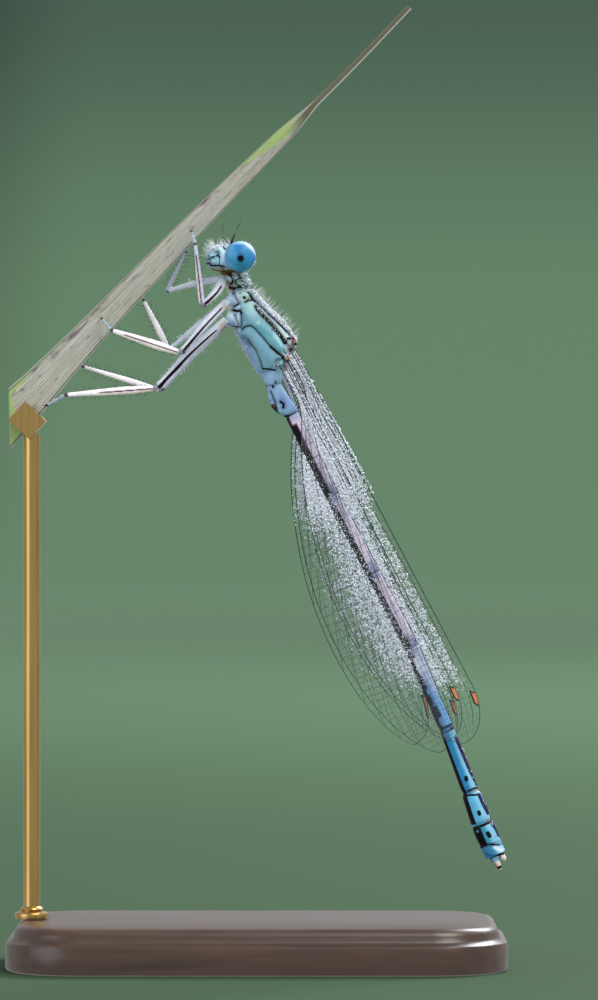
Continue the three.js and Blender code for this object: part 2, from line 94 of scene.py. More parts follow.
def start_material(name, **surface):
    material = bpy.data.materials.new(name)
    material.use_nodes = True
    tree = material.node_tree
    shader = tree.nodes["Principled BSDF"]
    for socket, value in surface.items():
        shader.inputs[socket.replace("_", " ")].default_value = value
    return material, tree, shader


def mottled(name, low, high, cloud_mm, **surface):
    """A material that drifts between two swatches in clouds of about `cloud_mm`."""
    material, tree, shader = start_material(name, **surface)
    where = add(tree, "TexCoord").outputs["Object"]
    cloud = add(tree, "TexNoise", {"Vector": where, "Scale": 1 / (cloud_mm * MM)})
    mixed = add(tree, "Mix", {0: cloud.outputs["Fac"], 6: colour(low), 7: colour(high)},
                data_type="RGBA")
    tree.links.new(mixed.outputs[2], shader.inputs["Base Color"])
    return material


print("material tools ready")

# %% [markdown]
# ## Smooth values from short tables
# An insect has few straight lines. `soft` reads smooth values from a short table, as a tailor cuts
# a sleeve from a few measurements, and `spline` draws a smooth line through a few points.

# %% Tables and curves
def soft(table, at):
    """Smooth values read at places `at` from rows of [place, value, ...]."""
    table = np.asarray(table, float)
    x, y = table[:, 0], table[:, 1:]
    slope = np.gradient(y, x, axis=0)
    at = np.atleast_1d(np.clip(at, x[0], x[-1]))
    i = np.clip(np.searchsorted(x, at, side="right") - 1, 0, len(x) - 2)
    h = (x[i + 1] - x[i])[:, None]
    t = ((at - x[i])[:, None]) / h
    a, b = y[i], y[i + 1]
    m, n = slope[i] * h, slope[i + 1] * h
    value = (a * (2 * t**3 - 3 * t**2 + 1) + m * (t**3 - 2 * t**2 + t)
             + b * (3 * t**2 - 2 * t**3) + n * (t**3 - t**2))
    return value[:, 0] if value.shape[1] == 1 else value


def spline(points, count):
    """Evenly spaced points on a smooth curve through a few."""
    points = np.asarray(points, float)
    place = np.arange(len(points), dtype=float)
    dense = soft(np.column_stack([place, points]), np.linspace(0, place[-1], 40 * len(points)))
    length = np.r_[0, np.cumsum(np.linalg.norm(np.diff(dense, axis=0), axis=1))]
    even = np.linspace(0, length[-1], count)
    return np.column_stack([np.interp(even, length, dense[:, k]) for k in range(3)])


def unit(vectors):
    return vectors / np.linalg.norm(vectors, axis=-1, keepdims=True)


def power(value, exponent):
    return np.sign(value) * np.abs(value) ** exponent


print("halfway up a smooth step:", soft([[0, 0], [1, 1]], 0.5)[0])

# %% [markdown]
# ## Tubes, balls and sheets
# Most of an insect is a row of oval sections, so `tube` lays a closed tube over them, and `ball` is
# a tube that swells as a circle does. Wings and leaves are sheets, sewn round the rim. Blender's
# own primitives could be stretched instead, but arrays of points take every bend directly.

# %% Tubes, balls and sheets
def close_rings(ring, first, last):
    """Rings of points joined by walls, with a fan to a middle point at each end."""
    rows, columns = ring.shape[:2]
    i, j = np.meshgrid(np.arange(rows - 1), np.arange(columns), indexing="ij")
    k = (j + 1) % columns
    a, b = i * columns + j, i * columns + k
    c, d = a + columns, b + columns
    walls = np.stack([a, b, d, a, d, c], -1).reshape(-1, 3)
    j, k = j[0], k[0]
    count = rows * columns
    top = count - columns
    foot = np.stack([np.full(columns, count), k, j], -1)
    head = np.stack([np.full(columns, count + 1), top + j, top + k], -1)
    return np.vstack([ring.reshape(-1, 3), first, last]), np.vstack([walls, foot, head])


def tube(centres, side, up, width, top, bottom, columns=32, square=2.0, low_square=None):
    """A closed tube of oval sections. Returns its points and triangles."""
    rows = len(centres)
    spread = lambda value: np.broadcast_to(np.asarray(value, float), (rows,))[:, None]
    angle = np.linspace(0, 2 * np.pi, columns, endpoint=False)
    c, s = np.cos(angle), np.sin(angle)
    exponent = np.where(s >= 0, 2 / square, 2 / (low_square or square))
    across = spread(width) * power(c, exponent)
    above = np.where(s >= 0, spread(top), spread(bottom)) * power(s, exponent)
    side = np.broadcast_to(side, (rows, 3))[:, None]
    up = np.broadcast_to(up, (rows, 3))[:, None]
    ring = centres[:, None] + across[..., None] * side + above[..., None] * up
    return close_rings(ring, centres[0], centres[-1])


def ball(centre, radii, axes=np.eye(3), columns=28):
    """An ovoid with its own axes, as a tube of round sections."""
    t = np.linspace(0, np.pi, columns // 2 + 1)[1:-1]
    centre, axes = np.asarray(centre, float), np.asarray(axes, float)
    middle = centre - np.cos(t)[:, None] * radii[0] * axes[0]
    reach = np.sin(t)
    high = radii[2] * reach
    return tube(middle, axes[1], axes[2], radii[1] * reach, high, high, columns)


def closed_sheet(front, back, swapped):
    """Two grids of points sewn together round their rims, as points and quads."""
    rows, columns = front.shape[:2]
    count = rows * columns
    i, j = np.meshgrid(np.arange(rows - 1), np.arange(columns - 1), indexing="ij")
    a = (i * columns + j).ravel()
    quads = np.stack([a, a + 1, a + columns + 1, a + columns], -1)
    rim = np.concatenate([np.arange(columns), columns * np.arange(2, rows + 1) - 1,
                          count - 2 - np.arange(columns - 1),
                          columns * np.arange(rows - 2, 0, -1)])
    wall = np.stack([rim, np.roll(rim, -1), np.roll(rim, -1) + count, rim + count], -1)
    if swapped:
        quads, wall = quads[:, ::-1], wall[:, ::-1]
    points = np.vstack([front.reshape(-1, 3), back.reshape(-1, 3)])
    return points, np.vstack([quads, quads[:, ::-1] + count, wall[:, ::-1]])


def gather(shapes):
    """Several shapes as one list of points and triangles."""
    counts = np.cumsum([0] + [len(points) for points, _ in shapes])
    return (np.vstack([points for points, _ in shapes]),
            np.vstack([faces + n for (_, faces), n in zip(shapes, counts)]))


print("a ball has", len(ball([0, 0, 0], [1, 1, 1])[0]), "points")

# %% [markdown]
# ## From points to pieces
# Building a mesh face by face is slow for thousands of dew beads. Whole arrays go in at once, and
# here millimetres become metres. Every piece rides on the one body and names the CAD nodes it
# replaces.

# %% Make a piece from points in millimetres
def make_piece(name, points, faces, *materials, scale=MM):
    mesh = bpy.data.meshes.new(name)
    mesh.vertices.add(len(points))
    mesh.vertices.foreach_set("co", (points * scale).astype(np.float32).ravel())
    corners = faces.shape[1]
    mesh.loops.add(faces.size)
    mesh.loops.foreach_set("vertex_index", faces.astype(np.int32).ravel())
    mesh.polygons.add(len(faces))
    mesh.polygons.foreach_set("loop_start", np.arange(0, faces.size, corners, dtype=np.int32))
    mesh.update(calc_edges=True)
    mesh.validate()
    mesh.shade_smooth()
    piece = bpy.data.objects.new(name, mesh)
    bpy.context.collection.objects.link(piece)
    for material in materials:
        mesh.materials.append(material)
    return piece


def write_attribute(mesh, name, kind, values):
    layer = mesh.attributes.new(name, kind, "POINT")
    field = "color" if kind == "FLOAT_COLOR" else "value"
    layer.data.foreach_set(field, np.ascontiguousarray(values, dtype=np.float32).ravel())


def finish_piece(piece, slot, *nodes):
    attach(piece, "root")
    if nodes:
        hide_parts(*nodes)
    print(f"{piece.name}: {len(piece.data.vertices)} points, {len(piece.data.polygons)} faces")


print("one millimetre is", MM, "Blender units")

# %% [markdown]
# ## The body's measurements
# These are the same few numbers that the CAD model is built from. The head has its own axes because
# it is turned a little to the left. Thorax and abdomen lean back from the vertical, as the animal
# hangs.

# %% Head, thorax and abdomen rows
HEAD_AT = np.array([-1.21, 0, 37.07])
HEAD_TURN = math.radians(14.5)
FORWARD = np.array([-math.cos(HEAD_TURN), -math.sin(HEAD_TURN), 0])
UP = np.array([0, 0, 1.0])
LEFTWARD = np.cross(UP, FORWARD)
HEAD_AXES = np.array([FORWARD, LEFTWARD, UP])
EYE_OUT = 1.38

HEAD_ROWS = [  # place towards the face, half width, low, high
    [-0.58, 0.4, -0.35, 0.3],
    [-0.48, 0.84, -0.54, 0.48],
    [-0.15, 1.1, -0.7, 0.64],
    [0.3, 1.06, -0.72, 0.68],
    [0.65, 0.94, -0.74, 0.66],
    [0.92, 0.84, -0.76, 0.56],
    [1.12, 0.74, -0.74, 0.36],
    [1.26, 0.6, -0.66, 0.14],
]
NECK = {"x": -0.98, "z": 36.24, "lean": 20}
NECK_ROWS = [  # place down it, half width, reach to the belly, reach to the back
    [-0.1, 0.26, 0.2, 0.22],
    [0.05, 0.38, 0.34, 0.36],
    [0.22, 0.55, 0.4, 0.49],
    [0.36, 0.5, 0.38, 0.41],
    [0.54, 0.64, 0.42, 0.49],
    [0.72, 0.56, 0.4, 0.41],
    [0.86, 0.44, 0.32, 0.32],
]
THORAX = {"x": -0.89, "z": 35.27, "lean": 23}
THORAX_ROWS = [
    [-0.02, 0.4, 0.46, 0.38],
    [0.12, 0.65, 0.71, 0.62],
    [0.52, 0.83, 0.91, 0.82],
    [1, 0.94, 1.0, 0.98],
    [1.6, 1.01, 1.05, 1.23],
    [2.3, 1.03, 1.05, 1.52],
    [3, 1.01, 0.99, 1.71],
    [3.45, 0.96, 0.94, 1.76],
    [3.8, 0.9, 0.91, 1.46],
    [4.1, 0.8, 0.88, 1.08],
    [4.36, 0.62, 0.74, 0.72],
    [4.46, 0.42, 0.5, 0.38],
]
SEGMENTS = [  # length, lean, then half width and half height at the front and at the back
    [0.86, 3, 0.5, 0.56, 0.43, 0.46],
    [1.87, 33.6, 0.41, 0.43, 0.39, 0.4],
    [4.73, 26.3, 0.38, 0.38, 0.39, 0.39],
    [4.57, 28, 0.38, 0.39, 0.4, 0.4],
    [4.38, 27.8, 0.39, 0.4, 0.41, 0.41],
    [4.62, 22.9, 0.4, 0.4, 0.41, 0.4],
    [3.54, 20.8, 0.39, 0.39, 0.46, 0.47],
    [1.78, 19.8, 0.49, 0.52, 0.57, 0.6],
    [1.14, 23, 0.58, 0.61, 0.61, 0.62],
    [0.64, 25, 0.61, 0.61, 0.55, 0.56],
]
ABDOMEN_AT = np.array([0.79, 0, 31.18])


def leaning(degrees):
    """The way down the body, and the way to its back, for a lean from the vertical."""
    angle = math.radians(degrees)
    return (np.array([math.sin(angle), 0, -math.cos(angle)]),
            np.array([math.cos(angle), 0, math.sin(angle)]))


def head_point(forward, left, up):
    return HEAD_AT + forward * FORWARD + left * LEFTWARD + up * UP


print("abdomen:", round(sum(row[0] for row in SEGMENTS), 1), "mm in", len(SEGMENTS), "rings")

# %% [markdown]
# ## The skin's rough form
# A damselfly's body is a hard shell of many bulging plates. Fitting them edge to edge would be
# slow, and sculpting needs a hand. Here simple closed shapes run into each other, as clay is built
# up, and are wrapped in one skin later.

# %% Head capsule, face and mouth
def head_shapes():
    place = np.linspace(HEAD_ROWS[0][0], HEAD_ROWS[-1][0], 24)
    width, low, high = soft(HEAD_ROWS, place).T
    centres = HEAD_AT + place[:, None] * FORWARD + ((low + high) / 2)[:, None] * UP
    half = (high - low) / 2
    shapes = [tube(centres, LEFTWARD, UP, width, half, half, 36, 2.4)]
    bulges = [  # forward, left, up, then radii: the face's plates from the brow down to the lip
        [0.98, 0, 0.3, 0.42, 0.8, 0.34],
        [1.2, 0, 0.04, 0.36, 0.72, 0.24],
        [1.22, 0, -0.24, 0.36, 0.66, 0.24],
        [1.06, 0, -0.46, 0.4, 0.56, 0.2],
        [0.5, 0, -0.66, 0.72, 0.56, 0.16],
        [0.32, 0, 0.56, 0.42, 0.5, 0.22],
        [-0.3, 0, -0.3, 0.42, 0.42, 0.5],
    ]
    for side in (LEFT, RIGHT):
        bulges += [
            [0.78, side * 0.58, -0.3, 0.42, 0.34, 0.36],
            [1.04, side * 0.36, -0.5, 0.42, 0.24, 0.18],
            [0.38, side * 0.72, 0.6, 0.15, 0.15, 0.15],
            [0.2, side * 0.24, 0.73, 0.08, 0.08, 0.07],
        ]
    bulges.append([0.5, 0, 0.72, 0.09, 0.09, 0.07])
    return shapes + [ball(head_point(f, l, u), radii, HEAD_AXES) for f, l, u, *radii in bulges]


print("head:", len(head_shapes()), "overlapping shapes")

# %% [markdown]
# ## The thorax
# The thorax is a box of flight muscle, leaning so far back that the legs point forward. Each plate
# that bulges over a hip or wing hinge is a ball half sunk in the trunk, one line of a table.

# %% Thorax with its plates, hips and wing hinges
def trunk_tube(base, rows, back_power, belly_power, columns=44):
    along, up = leaning(base["lean"])
    place = np.linspace(rows[0][0], rows[-1][0], 60)
    width, belly, back = soft(rows, place).T
    centres = np.array([base["x"], 0, base["z"]]) + place[:, None] * along
    across = np.array([0, -1.0, 0])
    return tube(centres, across, up, width, back, belly, columns, back_power, belly_power)


KNOBS = [  # x, y, z and radii of the swellings that carry the legs and wings, on each side
    [-1.36, 0.34, 35.86, 0.36, 0.24, 0.33],
    [-1.5, 0.46, 35.76, 0.24, 0.2, 0.28],
    [-1.32, 0.42, 34.82, 0.35, 0.27, 0.31],
    [-1.06, 0.62, 34.92, 0.28, 0.2, 0.34],
    [-1.27, 0.42, 33.82, 0.39, 0.3, 0.45],
    [-0.98, 0.66, 33.78, 0.26, 0.22, 0.4],
    [-0.66, 0.7, 35.06, 0.34, 0.16, 0.3],
    [1.73, 0.5, 32.56, 0.41, 0.25, 0.41],
    [1.44, 0.6, 31.83, 0.37, 0.31, 0.35],
    [-0.89, 0.46, 35.8, 0.2, 0.14, 0.2],
    [-0.52, 0.3, 35.62, 0.22, 0.26, 0.16],
    [-1.1, 0.2, 35.48, 0.34, 0.32, 0.2],
    [2.0, 0.52, 32.74, 0.14, 0.2, 0.19],
    [1.62, 0.6, 32.2, 0.16, 0.2, 0.24],
    [1.24, 0.6, 31.5, 0.23, 0.26, 0.22],
    [-1.5, 0.42, 35.93, 0.28, 0.22, 0.26],
    [-1.36, 0.3, 35.4, 0.26, 0.2, 0.3],
    [-1.46, 0.4, 34.36, 0.18, 0.2, 0.18],
]


def thorax_shapes():
    shapes = [trunk_tube(NECK, NECK_ROWS, 2, 2, 36), trunk_tube(THORAX, THORAX_ROWS, 1.75, 2.3)]
    for x, y, z, *radii in KNOBS:
        shapes += [ball([x, side * y, z], radii) for side in (LEFT, RIGHT)]
    shapes.append(ball([-1.5, 0, 36.24], [0.4, 0.3, 0.15]))  # the throat
    return shapes


print("thorax:", len(thorax_shapes()), "overlapping shapes")

# %% [markdown]
# ## The abdomen
# Ten rings telescope into each other. Each one flares slightly where it overlaps the next, and
# tucks in under the one before. The male's second ring bulges below with its mating organ, and the
# last carries two pairs of claspers.

# %% Abdomen tube with its telescoping rings
def abdomen_line():
    """Centre line, back direction, segment number and share of the segment, down the abdomen."""
    at, points, ups, numbers, shares = ABDOMEN_AT.copy(), [], [], [], []
    for number, (length, lean, *_) in enumerate(SEGMENTS):
        along, up = leaning(lean)
        share = np.linspace(0, 1, max(8, int(length / 0.05)), endpoint=False)
        points.append(at + share[:, None] * length * along)
        ups.append(np.tile(up, (len(share), 1)))
        numbers.append(np.full(len(share), number))
        shares.append(share)
        at = at + length * along
    points, ups = np.vstack(points), np.vstack(ups)
    kernel = np.hanning(11)[1:-1] / np.hanning(11)[1:-1].sum()
    eased = lambda rows: np.column_stack(
        [np.convolve(np.pad(rows[:, k], 4, mode="reflect", reflect_type="odd"), kernel, "valid")
         for k in range(3)])
    return eased(points), unit(eased(ups)), np.concatenate(numbers), np.concatenate(shares)


AB_POINTS, AB_UPS, AB_NUMBER, AB_SHARE = abdomen_line()
AB_SIZES = np.array(SEGMENTS)[AB_NUMBER]
AB_PLACE = AB_SHARE * AB_SIZES[:, 0]  # mm from the segment's front rim
AB_LEFT_OVER = AB_SIZES[:, 0] - AB_PLACE
RIM, TUCK = 0.13, 0.09  # how far the flare and the tuck reach along a segment


def abdomen_sizes():
    front, back = AB_SIZES[:, 2:4], AB_SIZES[:, 4:6]
    size = front + (back - front) * AB_SHARE[:, None]
    flare = 0.035 * np.clip(1 - AB_LEFT_OVER / RIM, 0, 1) ** 0.7
    tuck = 0.07 * np.clip(1 - AB_PLACE / TUCK, 0, 1) ** 0.8
    waist = 0.012 * np.sin(np.pi * AB_SHARE)
    factor = 0.985 + flare - tuck - waist
    swell = np.where(AB_NUMBER == 1, 0.34 * np.sin(np.pi * AB_SHARE) ** 1.5, 0)
    return size[:, 0] * factor, size[:, 1] * factor, size[:, 1] * factor + swell


AB_WIDTH, AB_TOP, AB_BOTTOM = abdomen_sizes()
CLASPERS = [  # side, lift from the axis, length, radius, droop, toe-in
    [0.22, 0.27, 0.53, 0.155, 0.02, 0.04],
    [0.2, -0.17, 0.88, 0.195, 0.04, 0.08],
]


def abdomen_shapes():
    along, up = leaning(SEGMENTS[-1][1])
    shapes = [tube(AB_POINTS, np.array([0, -1.0, 0]), AB_UPS, AB_WIDTH, AB_TOP, AB_BOTTOM, 40)]
    end = AB_POINTS[-1] - 0.1 * along
    for side in (LEFT, RIGHT):
        for out, lift, length, radius, droop, toe in CLASPERS:
            t = np.linspace(0, 1, 16)[:, None]
            centres = end + t * (length + 0.08) * along + (lift + droop * t + 0.05 * t**2) * up
            centres = centres + side * (out - toe * t**2) * np.array([0, 1.0, 0])
            taper = radius * (1.05 - 0.45 * t[:, 0] ** 2) * np.sqrt(1.02 - t[:, 0] ** 6)
            shapes.append(tube(centres, np.array([0, -1.0, 0]), up, taper, taper, taper, 20))
    shapes.append(ball(AB_POINTS[-1] + 0.02 * along, [0.2, 0.36, 0.34], [along, [0, -1, 0], up]))
    shapes.append(ball([0.37, 0, 30.98], [0.2, 0.3, 0.25]))
    return shapes


print("abdomen line:", len(AB_POINTS), "sections")

# %% [markdown]
# ## The legs
# The animal's name comes from its white legs, whose middle and hind shins are flattened. Straight
# rods would do for a toy. A real thigh swells and a foot has knuckles, so each part is a tube with
# its own row of sections.

# %% Leg joints and sections
LEGS = {
    "front_left": [[-1.9, 0.55, 35.9], [-2.12, 1.3, 35.2], [-2.84, 2.1, 34.48],
                   [-3.22, 0.82, 37.75], [-3.42, 0.6, 38.42]],
    "front_right": [[-1.8, 0.58, 35.98], [-3.2, 1.1, 35.78], [-4.78, 1.35, 35.36],
                    [-3.72, 0.85, 37.42], [-3.3, 0.6, 38.05]],
    "middle_left": [[-1.78, 0.72, 34.68], [-2.75, 1.5, 33.45], [-3.95, 2.15, 32.02],
                    [-7.6, 0.86, 33.24], [-8.12, 0.6, 33.86]],
    "middle_right": [[-1.8, 0.72, 34.62], [-3.22, 1.45, 33.48], [-4.66, 1.95, 32.28],
                     [-5.98, 0.86, 34.9], [-6.32, 0.6, 35.6]],
    "hind_left": [[-1.84, 0.74, 33.72], [-3.46, 1.25, 32.12], [-5.24, 1.55, 30.2],
                  [-10.0, 0.84, 29.86], [-11.04, 0.6, 29.3]],
    "hind_right": [[-1.87, 0.76, 33.55], [-3.42, 1.3, 31.92], [-5.08, 1.65, 30.14],
                   [-9.2, 0.86, 31.4], [-9.9, 0.6, 31.95]],
}
SHIN_HALF = {"front": 0.17, "middle": 0.235, "hind": 0.215}


def leg_lines(name):
    """Femur, tibia and tarsus of a leg: centre line, broad direction, half breadth, half depth."""
    side = SIDES[name.split("_")[1]]
    hip, bend, knee, ankle, claw = [np.array([x, side * y, z]) for x, y, z in LEGS[name]]
    shin = SHIN_HALF[name.split("_")[0]]
    hip = hip + np.array([0.22, 0, 0.06])
    slim = 1.0 if side == LEFT else 0.72  # the right legs are turned and show their narrow edge
    lines = []
    for points, rows in (
        ([hip, bend, knee], [[0, 0.22, 0.18], [0.12, 0.235, 0.19], [0.55, 0.225, 0.18],
                             [0.9, 0.165, 0.15], [0.97, 0.18, 0.155], [1, 0.12, 0.11]]),
        ([knee, (knee + ankle) / 2, ankle], [[0, 0.13, 0.12], [0.05, 0.15, 0.13], [0.3, shin, 0.115],
                                             [0.6, 0.86 * shin, 0.11], [0.85, 0.62 * shin, 0.1],
                                             [1, 0.11, 0.09]]),
        ([ankle, (ankle + claw) / 2, claw], [[0, 0.085, 0.08], [0.28, 0.1, 0.085], [0.33, 0.075, 0.07],
                                             [0.6, 0.095, 0.08], [0.65, 0.07, 0.065], [0.95, 0.085, 0.08],
                                             [1, 0.05, 0.05]]),
    ):
        line = spline(points, 48)
        tangent = unit(np.gradient(line, axis=0))
        broad = unit(np.cross(tangent, [0, -1.0, 0]))
        breadth, depth = soft(rows, np.linspace(0, 1, 48)).T
        breadth = breadth * slim
        lines.append((line, tangent, broad, breadth, depth))
    return lines


LEG_LINES = {name: leg_lines(name) for name in LEGS}


def leg_shapes():
    shapes = []
    for lines in LEG_LINES.values():
        for line, tangent, broad, breadth, depth in lines:
            shapes.append(tube(line, np.cross(broad, tangent), broad, depth, breadth, breadth, 20))
    return shapes


print("legs:", len(leg_shapes()), "tubes")

# %% [markdown]
# ## One skin
# The body is now a heap of shapes with a crease wherever two meet. Booleans would keep the creases.
# A voxel remesh melts them into one closed surface, and smoothing takes off the voxels' steps.

# %% Wrap all flesh in one skin
SKIN_VOXEL = 0.04


def wrapped(shapes):
    """One smooth surface round overlapping shapes, worked out in millimetres."""
    rough = make_piece("rough_form", *gather(shapes), scale=1.0)
    remesh = rough.modifiers.new("wrap", "REMESH")
    remesh.mode = "VOXEL"
    remesh.voxel_size = SKIN_VOXEL
    ease = rough.modifiers.new("ease", "SMOOTH")
    ease.factor = 0.5
    ease.iterations = 4
    seen = rough.evaluated_get(bpy.context.evaluated_depsgraph_get()).to_mesh()
    points = np.empty(len(seen.vertices) * 3)
    normals = np.empty(len(seen.vertices) * 3)
    seen.vertices.foreach_get("co", points)
    seen.vertices.foreach_get("normal", normals)
    seen.calc_loop_triangles()
    faces = np.empty(len(seen.loop_triangles) * 3, dtype=np.int64)
    seen.loop_triangles.foreach_get("vertices", faces)
    bpy.data.objects.remove(rough)
    return points.reshape(-1, 3), normals.reshape(-1, 3), faces.reshape(-1, 3)


skin_points, skin_normals, skin_faces = wrapped(
    head_shapes() + thorax_shapes() + abdomen_shapes() + leg_shapes())
print("skin:", len(skin_points), "points", len(skin_faces), "triangles")

# %% [markdown]
# ## Marking the skin
# Plates, seams and spots are painted by rule. For every point the script measures how far it lies,
# in millimetres, from each drawn line. The shader cuts that distance sharply, so an edge stays
# crisp between the mesh's points.

# %% Distances to lines and spots
def line_distance(points, line):
    """Distance in a plane from each point to a line of two or more corners."""
    line = np.asarray(line, float)
    nearest = np.full(len(points), 1e9)
    for a, b in zip(line[:-1], line[1:]):
        way = b - a
        t = np.clip(((points - a) @ way) / (way @ way), 0, 1)
        nearest = np.minimum(nearest, np.linalg.norm(points - a - t[:, None] * way, axis=1))
    return nearest


def stroke(points, line, width):
    """How deep each point lies inside a stroke (negative outside)."""
    return width / 2 - line_distance(points, line)


def blend(base, other, weight):
    return base + (np.asarray(other) - base) * np.clip(weight, 0, 1)[:, None]


def ramp(value, low, high):
    t = np.clip((value - low) / (high - low), 0, 1)
    return t * t * (3 - 2 * t)


def follow(points, line):
    """For each point: nearest row of a centre line."""
    best = np.zeros(len(points), int)
    gap = np.full(len(points), 1e9)
    for start in range(0, len(line), 64):
        part = line[start:start + 64]
        distance = np.linalg.norm(points[:, None] - part[None], axis=2)
        row = distance.argmin(1)
        near = distance[np.arange(len(points)), row]
        closer = near < gap
        gap[closer], best[closer] = near[closer], row[closer] + start
    return best, gap


print("a point beside a stroke:", stroke(np.array([[0.0, 1.0]]), [[-1, 0], [1, 0]], 0.5)[0])

# %% [markdown]
# ## Which part is which
# The skin has forgotten which points are head, leg or ring. Groups could be painted by hand, but
# the centre lines that made the shapes give every point its part, and its place along it.

# %% Which part each point of the skin belongs to
ALONG_THORAX, BACK_OF_THORAX = leaning(THORAX["lean"])
thorax_at = skin_points - [THORAX["x"], 0, THORAX["z"]]
thorax_place = thorax_at @ ALONG_THORAX
thorax_height = thorax_at @ BACK_OF_THORAX
head_at = (skin_points - HEAD_AT) @ HEAD_AXES.T
ab_row, ab_gap = follow(skin_points, AB_POINTS)
ab_over = ab_gap - np.maximum(AB_WIDTH[ab_row], AB_BOTTOM[ab_row])
leg_rows = {}
leg_over = np.full(len(skin_points), 1e9)
leg_of = np.full(len(skin_points), -1)
for leg_number, lines in enumerate(LEG_LINES.values()):
    for joint, (line, _, _, breadth, _) in enumerate(lines):
        row, gap = follow(skin_points, line)
        over = gap - breadth[row]
        closer = over < leg_over
        leg_over[closer] = over[closer]
        leg_of[closer] = leg_number * 3 + joint
        leg_rows[leg_number * 3 + joint] = row

on_head = (head_at[:, 2] > -0.86) & (skin_points[:, 2] > 36.28) & (leg_over > 0.02)
on_leg = (leg_over < 0.03) & ~on_head & (skin_points[:, 0] < -1.62)
on_neck = ~on_head & ~on_leg & (thorax_place < 0.1) & (skin_points[:, 2] > 35.3)
on_abdomen = ((ab_over < 0.08) & (thorax_place > 4.3) & ~on_leg) | (skin_points[:, 2] < 6)
on_thorax = ~(on_head | on_leg | on_neck | on_abdomen)
print("head, neck, thorax, abdomen, legs:",
      [int(part.sum()) for part in (on_head, on_neck, on_thorax, on_abdomen, on_leg)])

# %% [markdown]
# ## Paint, ink and seams
# `tint` is a point's ground colour, `ink` how far it lies inside a black mark, and `seam` how far
# inside a groove. An image texture would need an unwrap and blur up close. Numbers on the mesh stay
# sharp.

# %% Paint, ink and seams
sheet = lambda swatch: np.array(linear(swatch))
tint = np.tile(sheet("#86b9bd"), (len(skin_points), 1))
ink = np.full(len(skin_points), -1.0)  # mm inside a black mark
seam = np.full(len(skin_points), -1.0)  # mm inside a pressed groove
flank = skin_points[:, [0, 2]]  # the side view of each point, in mm


def paint(where, swatch, weight=1.0):
    weight = np.broadcast_to(weight, where.shape)[where]
    tint[where] = blend(tint[where], sheet(swatch), weight)


def draw(where, depth):
    ink[where] = np.maximum(ink[where], depth[where])


def press(where, depth):
    seam[where] = np.maximum(seam[where], depth[where])


def brush(where, swatch, line, width, low=-0.02, high=0.03, plane=flank):
    """One soft stroke of paint, from nothing at depth `low` to full at depth `high`."""
    paint(where, swatch, ramp(stroke(plane, line, width), low, high))


def inside(x, z, radius, tall=1.0):
    """How deep each point lies inside a round spot seen from the side."""
    return radius - np.hypot(flank[:, 0] - x, (flank[:, 1] - z) * tall)


def grooves(where, lines, plane=flank, wider=0.0):
    """Black lines that are also pressed into the surface."""
    for line, width in lines:
        depth = stroke(plane, line, width)
        draw(where, depth)
        press(where, depth + wider)


print("ground colour laid on", len(tint), "points")

# %% [markdown]
# ## Head colours
# The face is powder blue, crossed by black sutures, with a lavender brow and straw-coloured
# mouthparts. Both cheeks carry the same marks, so each point's mirror twin on the left cheek is
# measured.

# %% Head colours
face_f, face_l, face_u = head_at.T
cheek = np.column_stack([HEAD_AT[0] + face_f * FORWARD[0] + np.abs(face_l) * LEFTWARD[0],
                         skin_points[:, 2]])
paint(on_head, "#a6d5ea")
# Painted highlight: the upper front of the face is lighter.
paint(on_head, "#c3d8ea", ramp(face_u, 0.2, 0.5) * ramp(face_f, 0.3, 0.9))
paint(on_head, "#93c3d2", ramp(-cheek[:, 0], 1.9, 2.1) * ramp(-face_u, -0.15, 0.0))
brush(on_head, "#d9d4ea", [[-2.5, 37.52], [-2.1, 37.8], [-1.75, 37.82]], 0.3, -0.05, 0.1, cheek)
brush(on_head, "#73a9bf", [[-2.1, 37.52], [-1.98, 37.28]], 0.22, -0.04, 0.08, cheek)
brush(on_head, "#c9e6f0", [[-1.76, 37.4], [-1.7, 36.95]], 0.36, -0.05, 0.1, cheek)
paint(on_head, "#94a7a6", ramp(-face_u, 0.44, 0.5))
paint(on_head, "#c8b98c", ramp(-face_u, 0.66, 0.72) * ramp(face_f, 0.55, 0.75))
paint(on_head, "#5c4a28", ramp(-face_u, 0.62, 0.7) * ramp(-face_f, -0.6, -0.45))
paint(on_head, "#232527", ramp(-face_f, 0.1, 0.22))
paint(on_head, "#1e1b22", ramp(face_u, 0.56, 0.62) * ramp(-face_f, -0.45, -0.32))
grooves(on_head, [
    ([[-2.66, 37.22], [-2.45, 37.08], [-2.31, 37.02]], 0.07),
    ([[-2.31, 37.02], [-2.15, 37.14], [-2.02, 37.15], [-1.97, 37.05]], 0.095),
    ([[-1.97, 37.05], [-1.97, 36.6], [-1.83, 36.42], [-1.7, 36.3]], 0.05),
    ([[-2.8, 36.68], [-2.57, 36.7], [-2.36, 36.61], [-1.83, 36.56], [-1.7, 36.5]], 0.1),
    ([[-2.7, 36.5], [-2.45, 36.41], [-2.2, 36.33], [-1.6, 36.22]], 0.055),
    ([[-2.5, 36.98], [-2.47, 36.75]], 0.04),
    ([[-1.78, 37.74], [-1.69, 37.53], [-1.48, 37.52], [-1.43, 37.68]], 0.08),
], cheek, 0.02)
for line in ([[-2.4, 37.5], [-2.2, 37.34], [-1.99, 37.2]],
             [[-2.7, 36.95], [-2.5, 36.98], [-2.31, 37.02]]):
    press(on_head, stroke(cheek, line, 0.05))
    brush(on_head, "#3f7089", line, 0.05, -0.03, 0.02, cheek)
brush(on_head, "#5a2f22", [[-2.8, 36.72], [-2.55, 36.74]], 0.1, -0.02, 0.02, cheek)
print("face marks drawn:", int((ink[on_head] > 0).sum()), "black points")

# %% [markdown]
# ## The three small eyes
# Between the great eyes sit three simple ones, each a bead in a dark ring. The skin already swells
# there, so a drawn ring is enough.

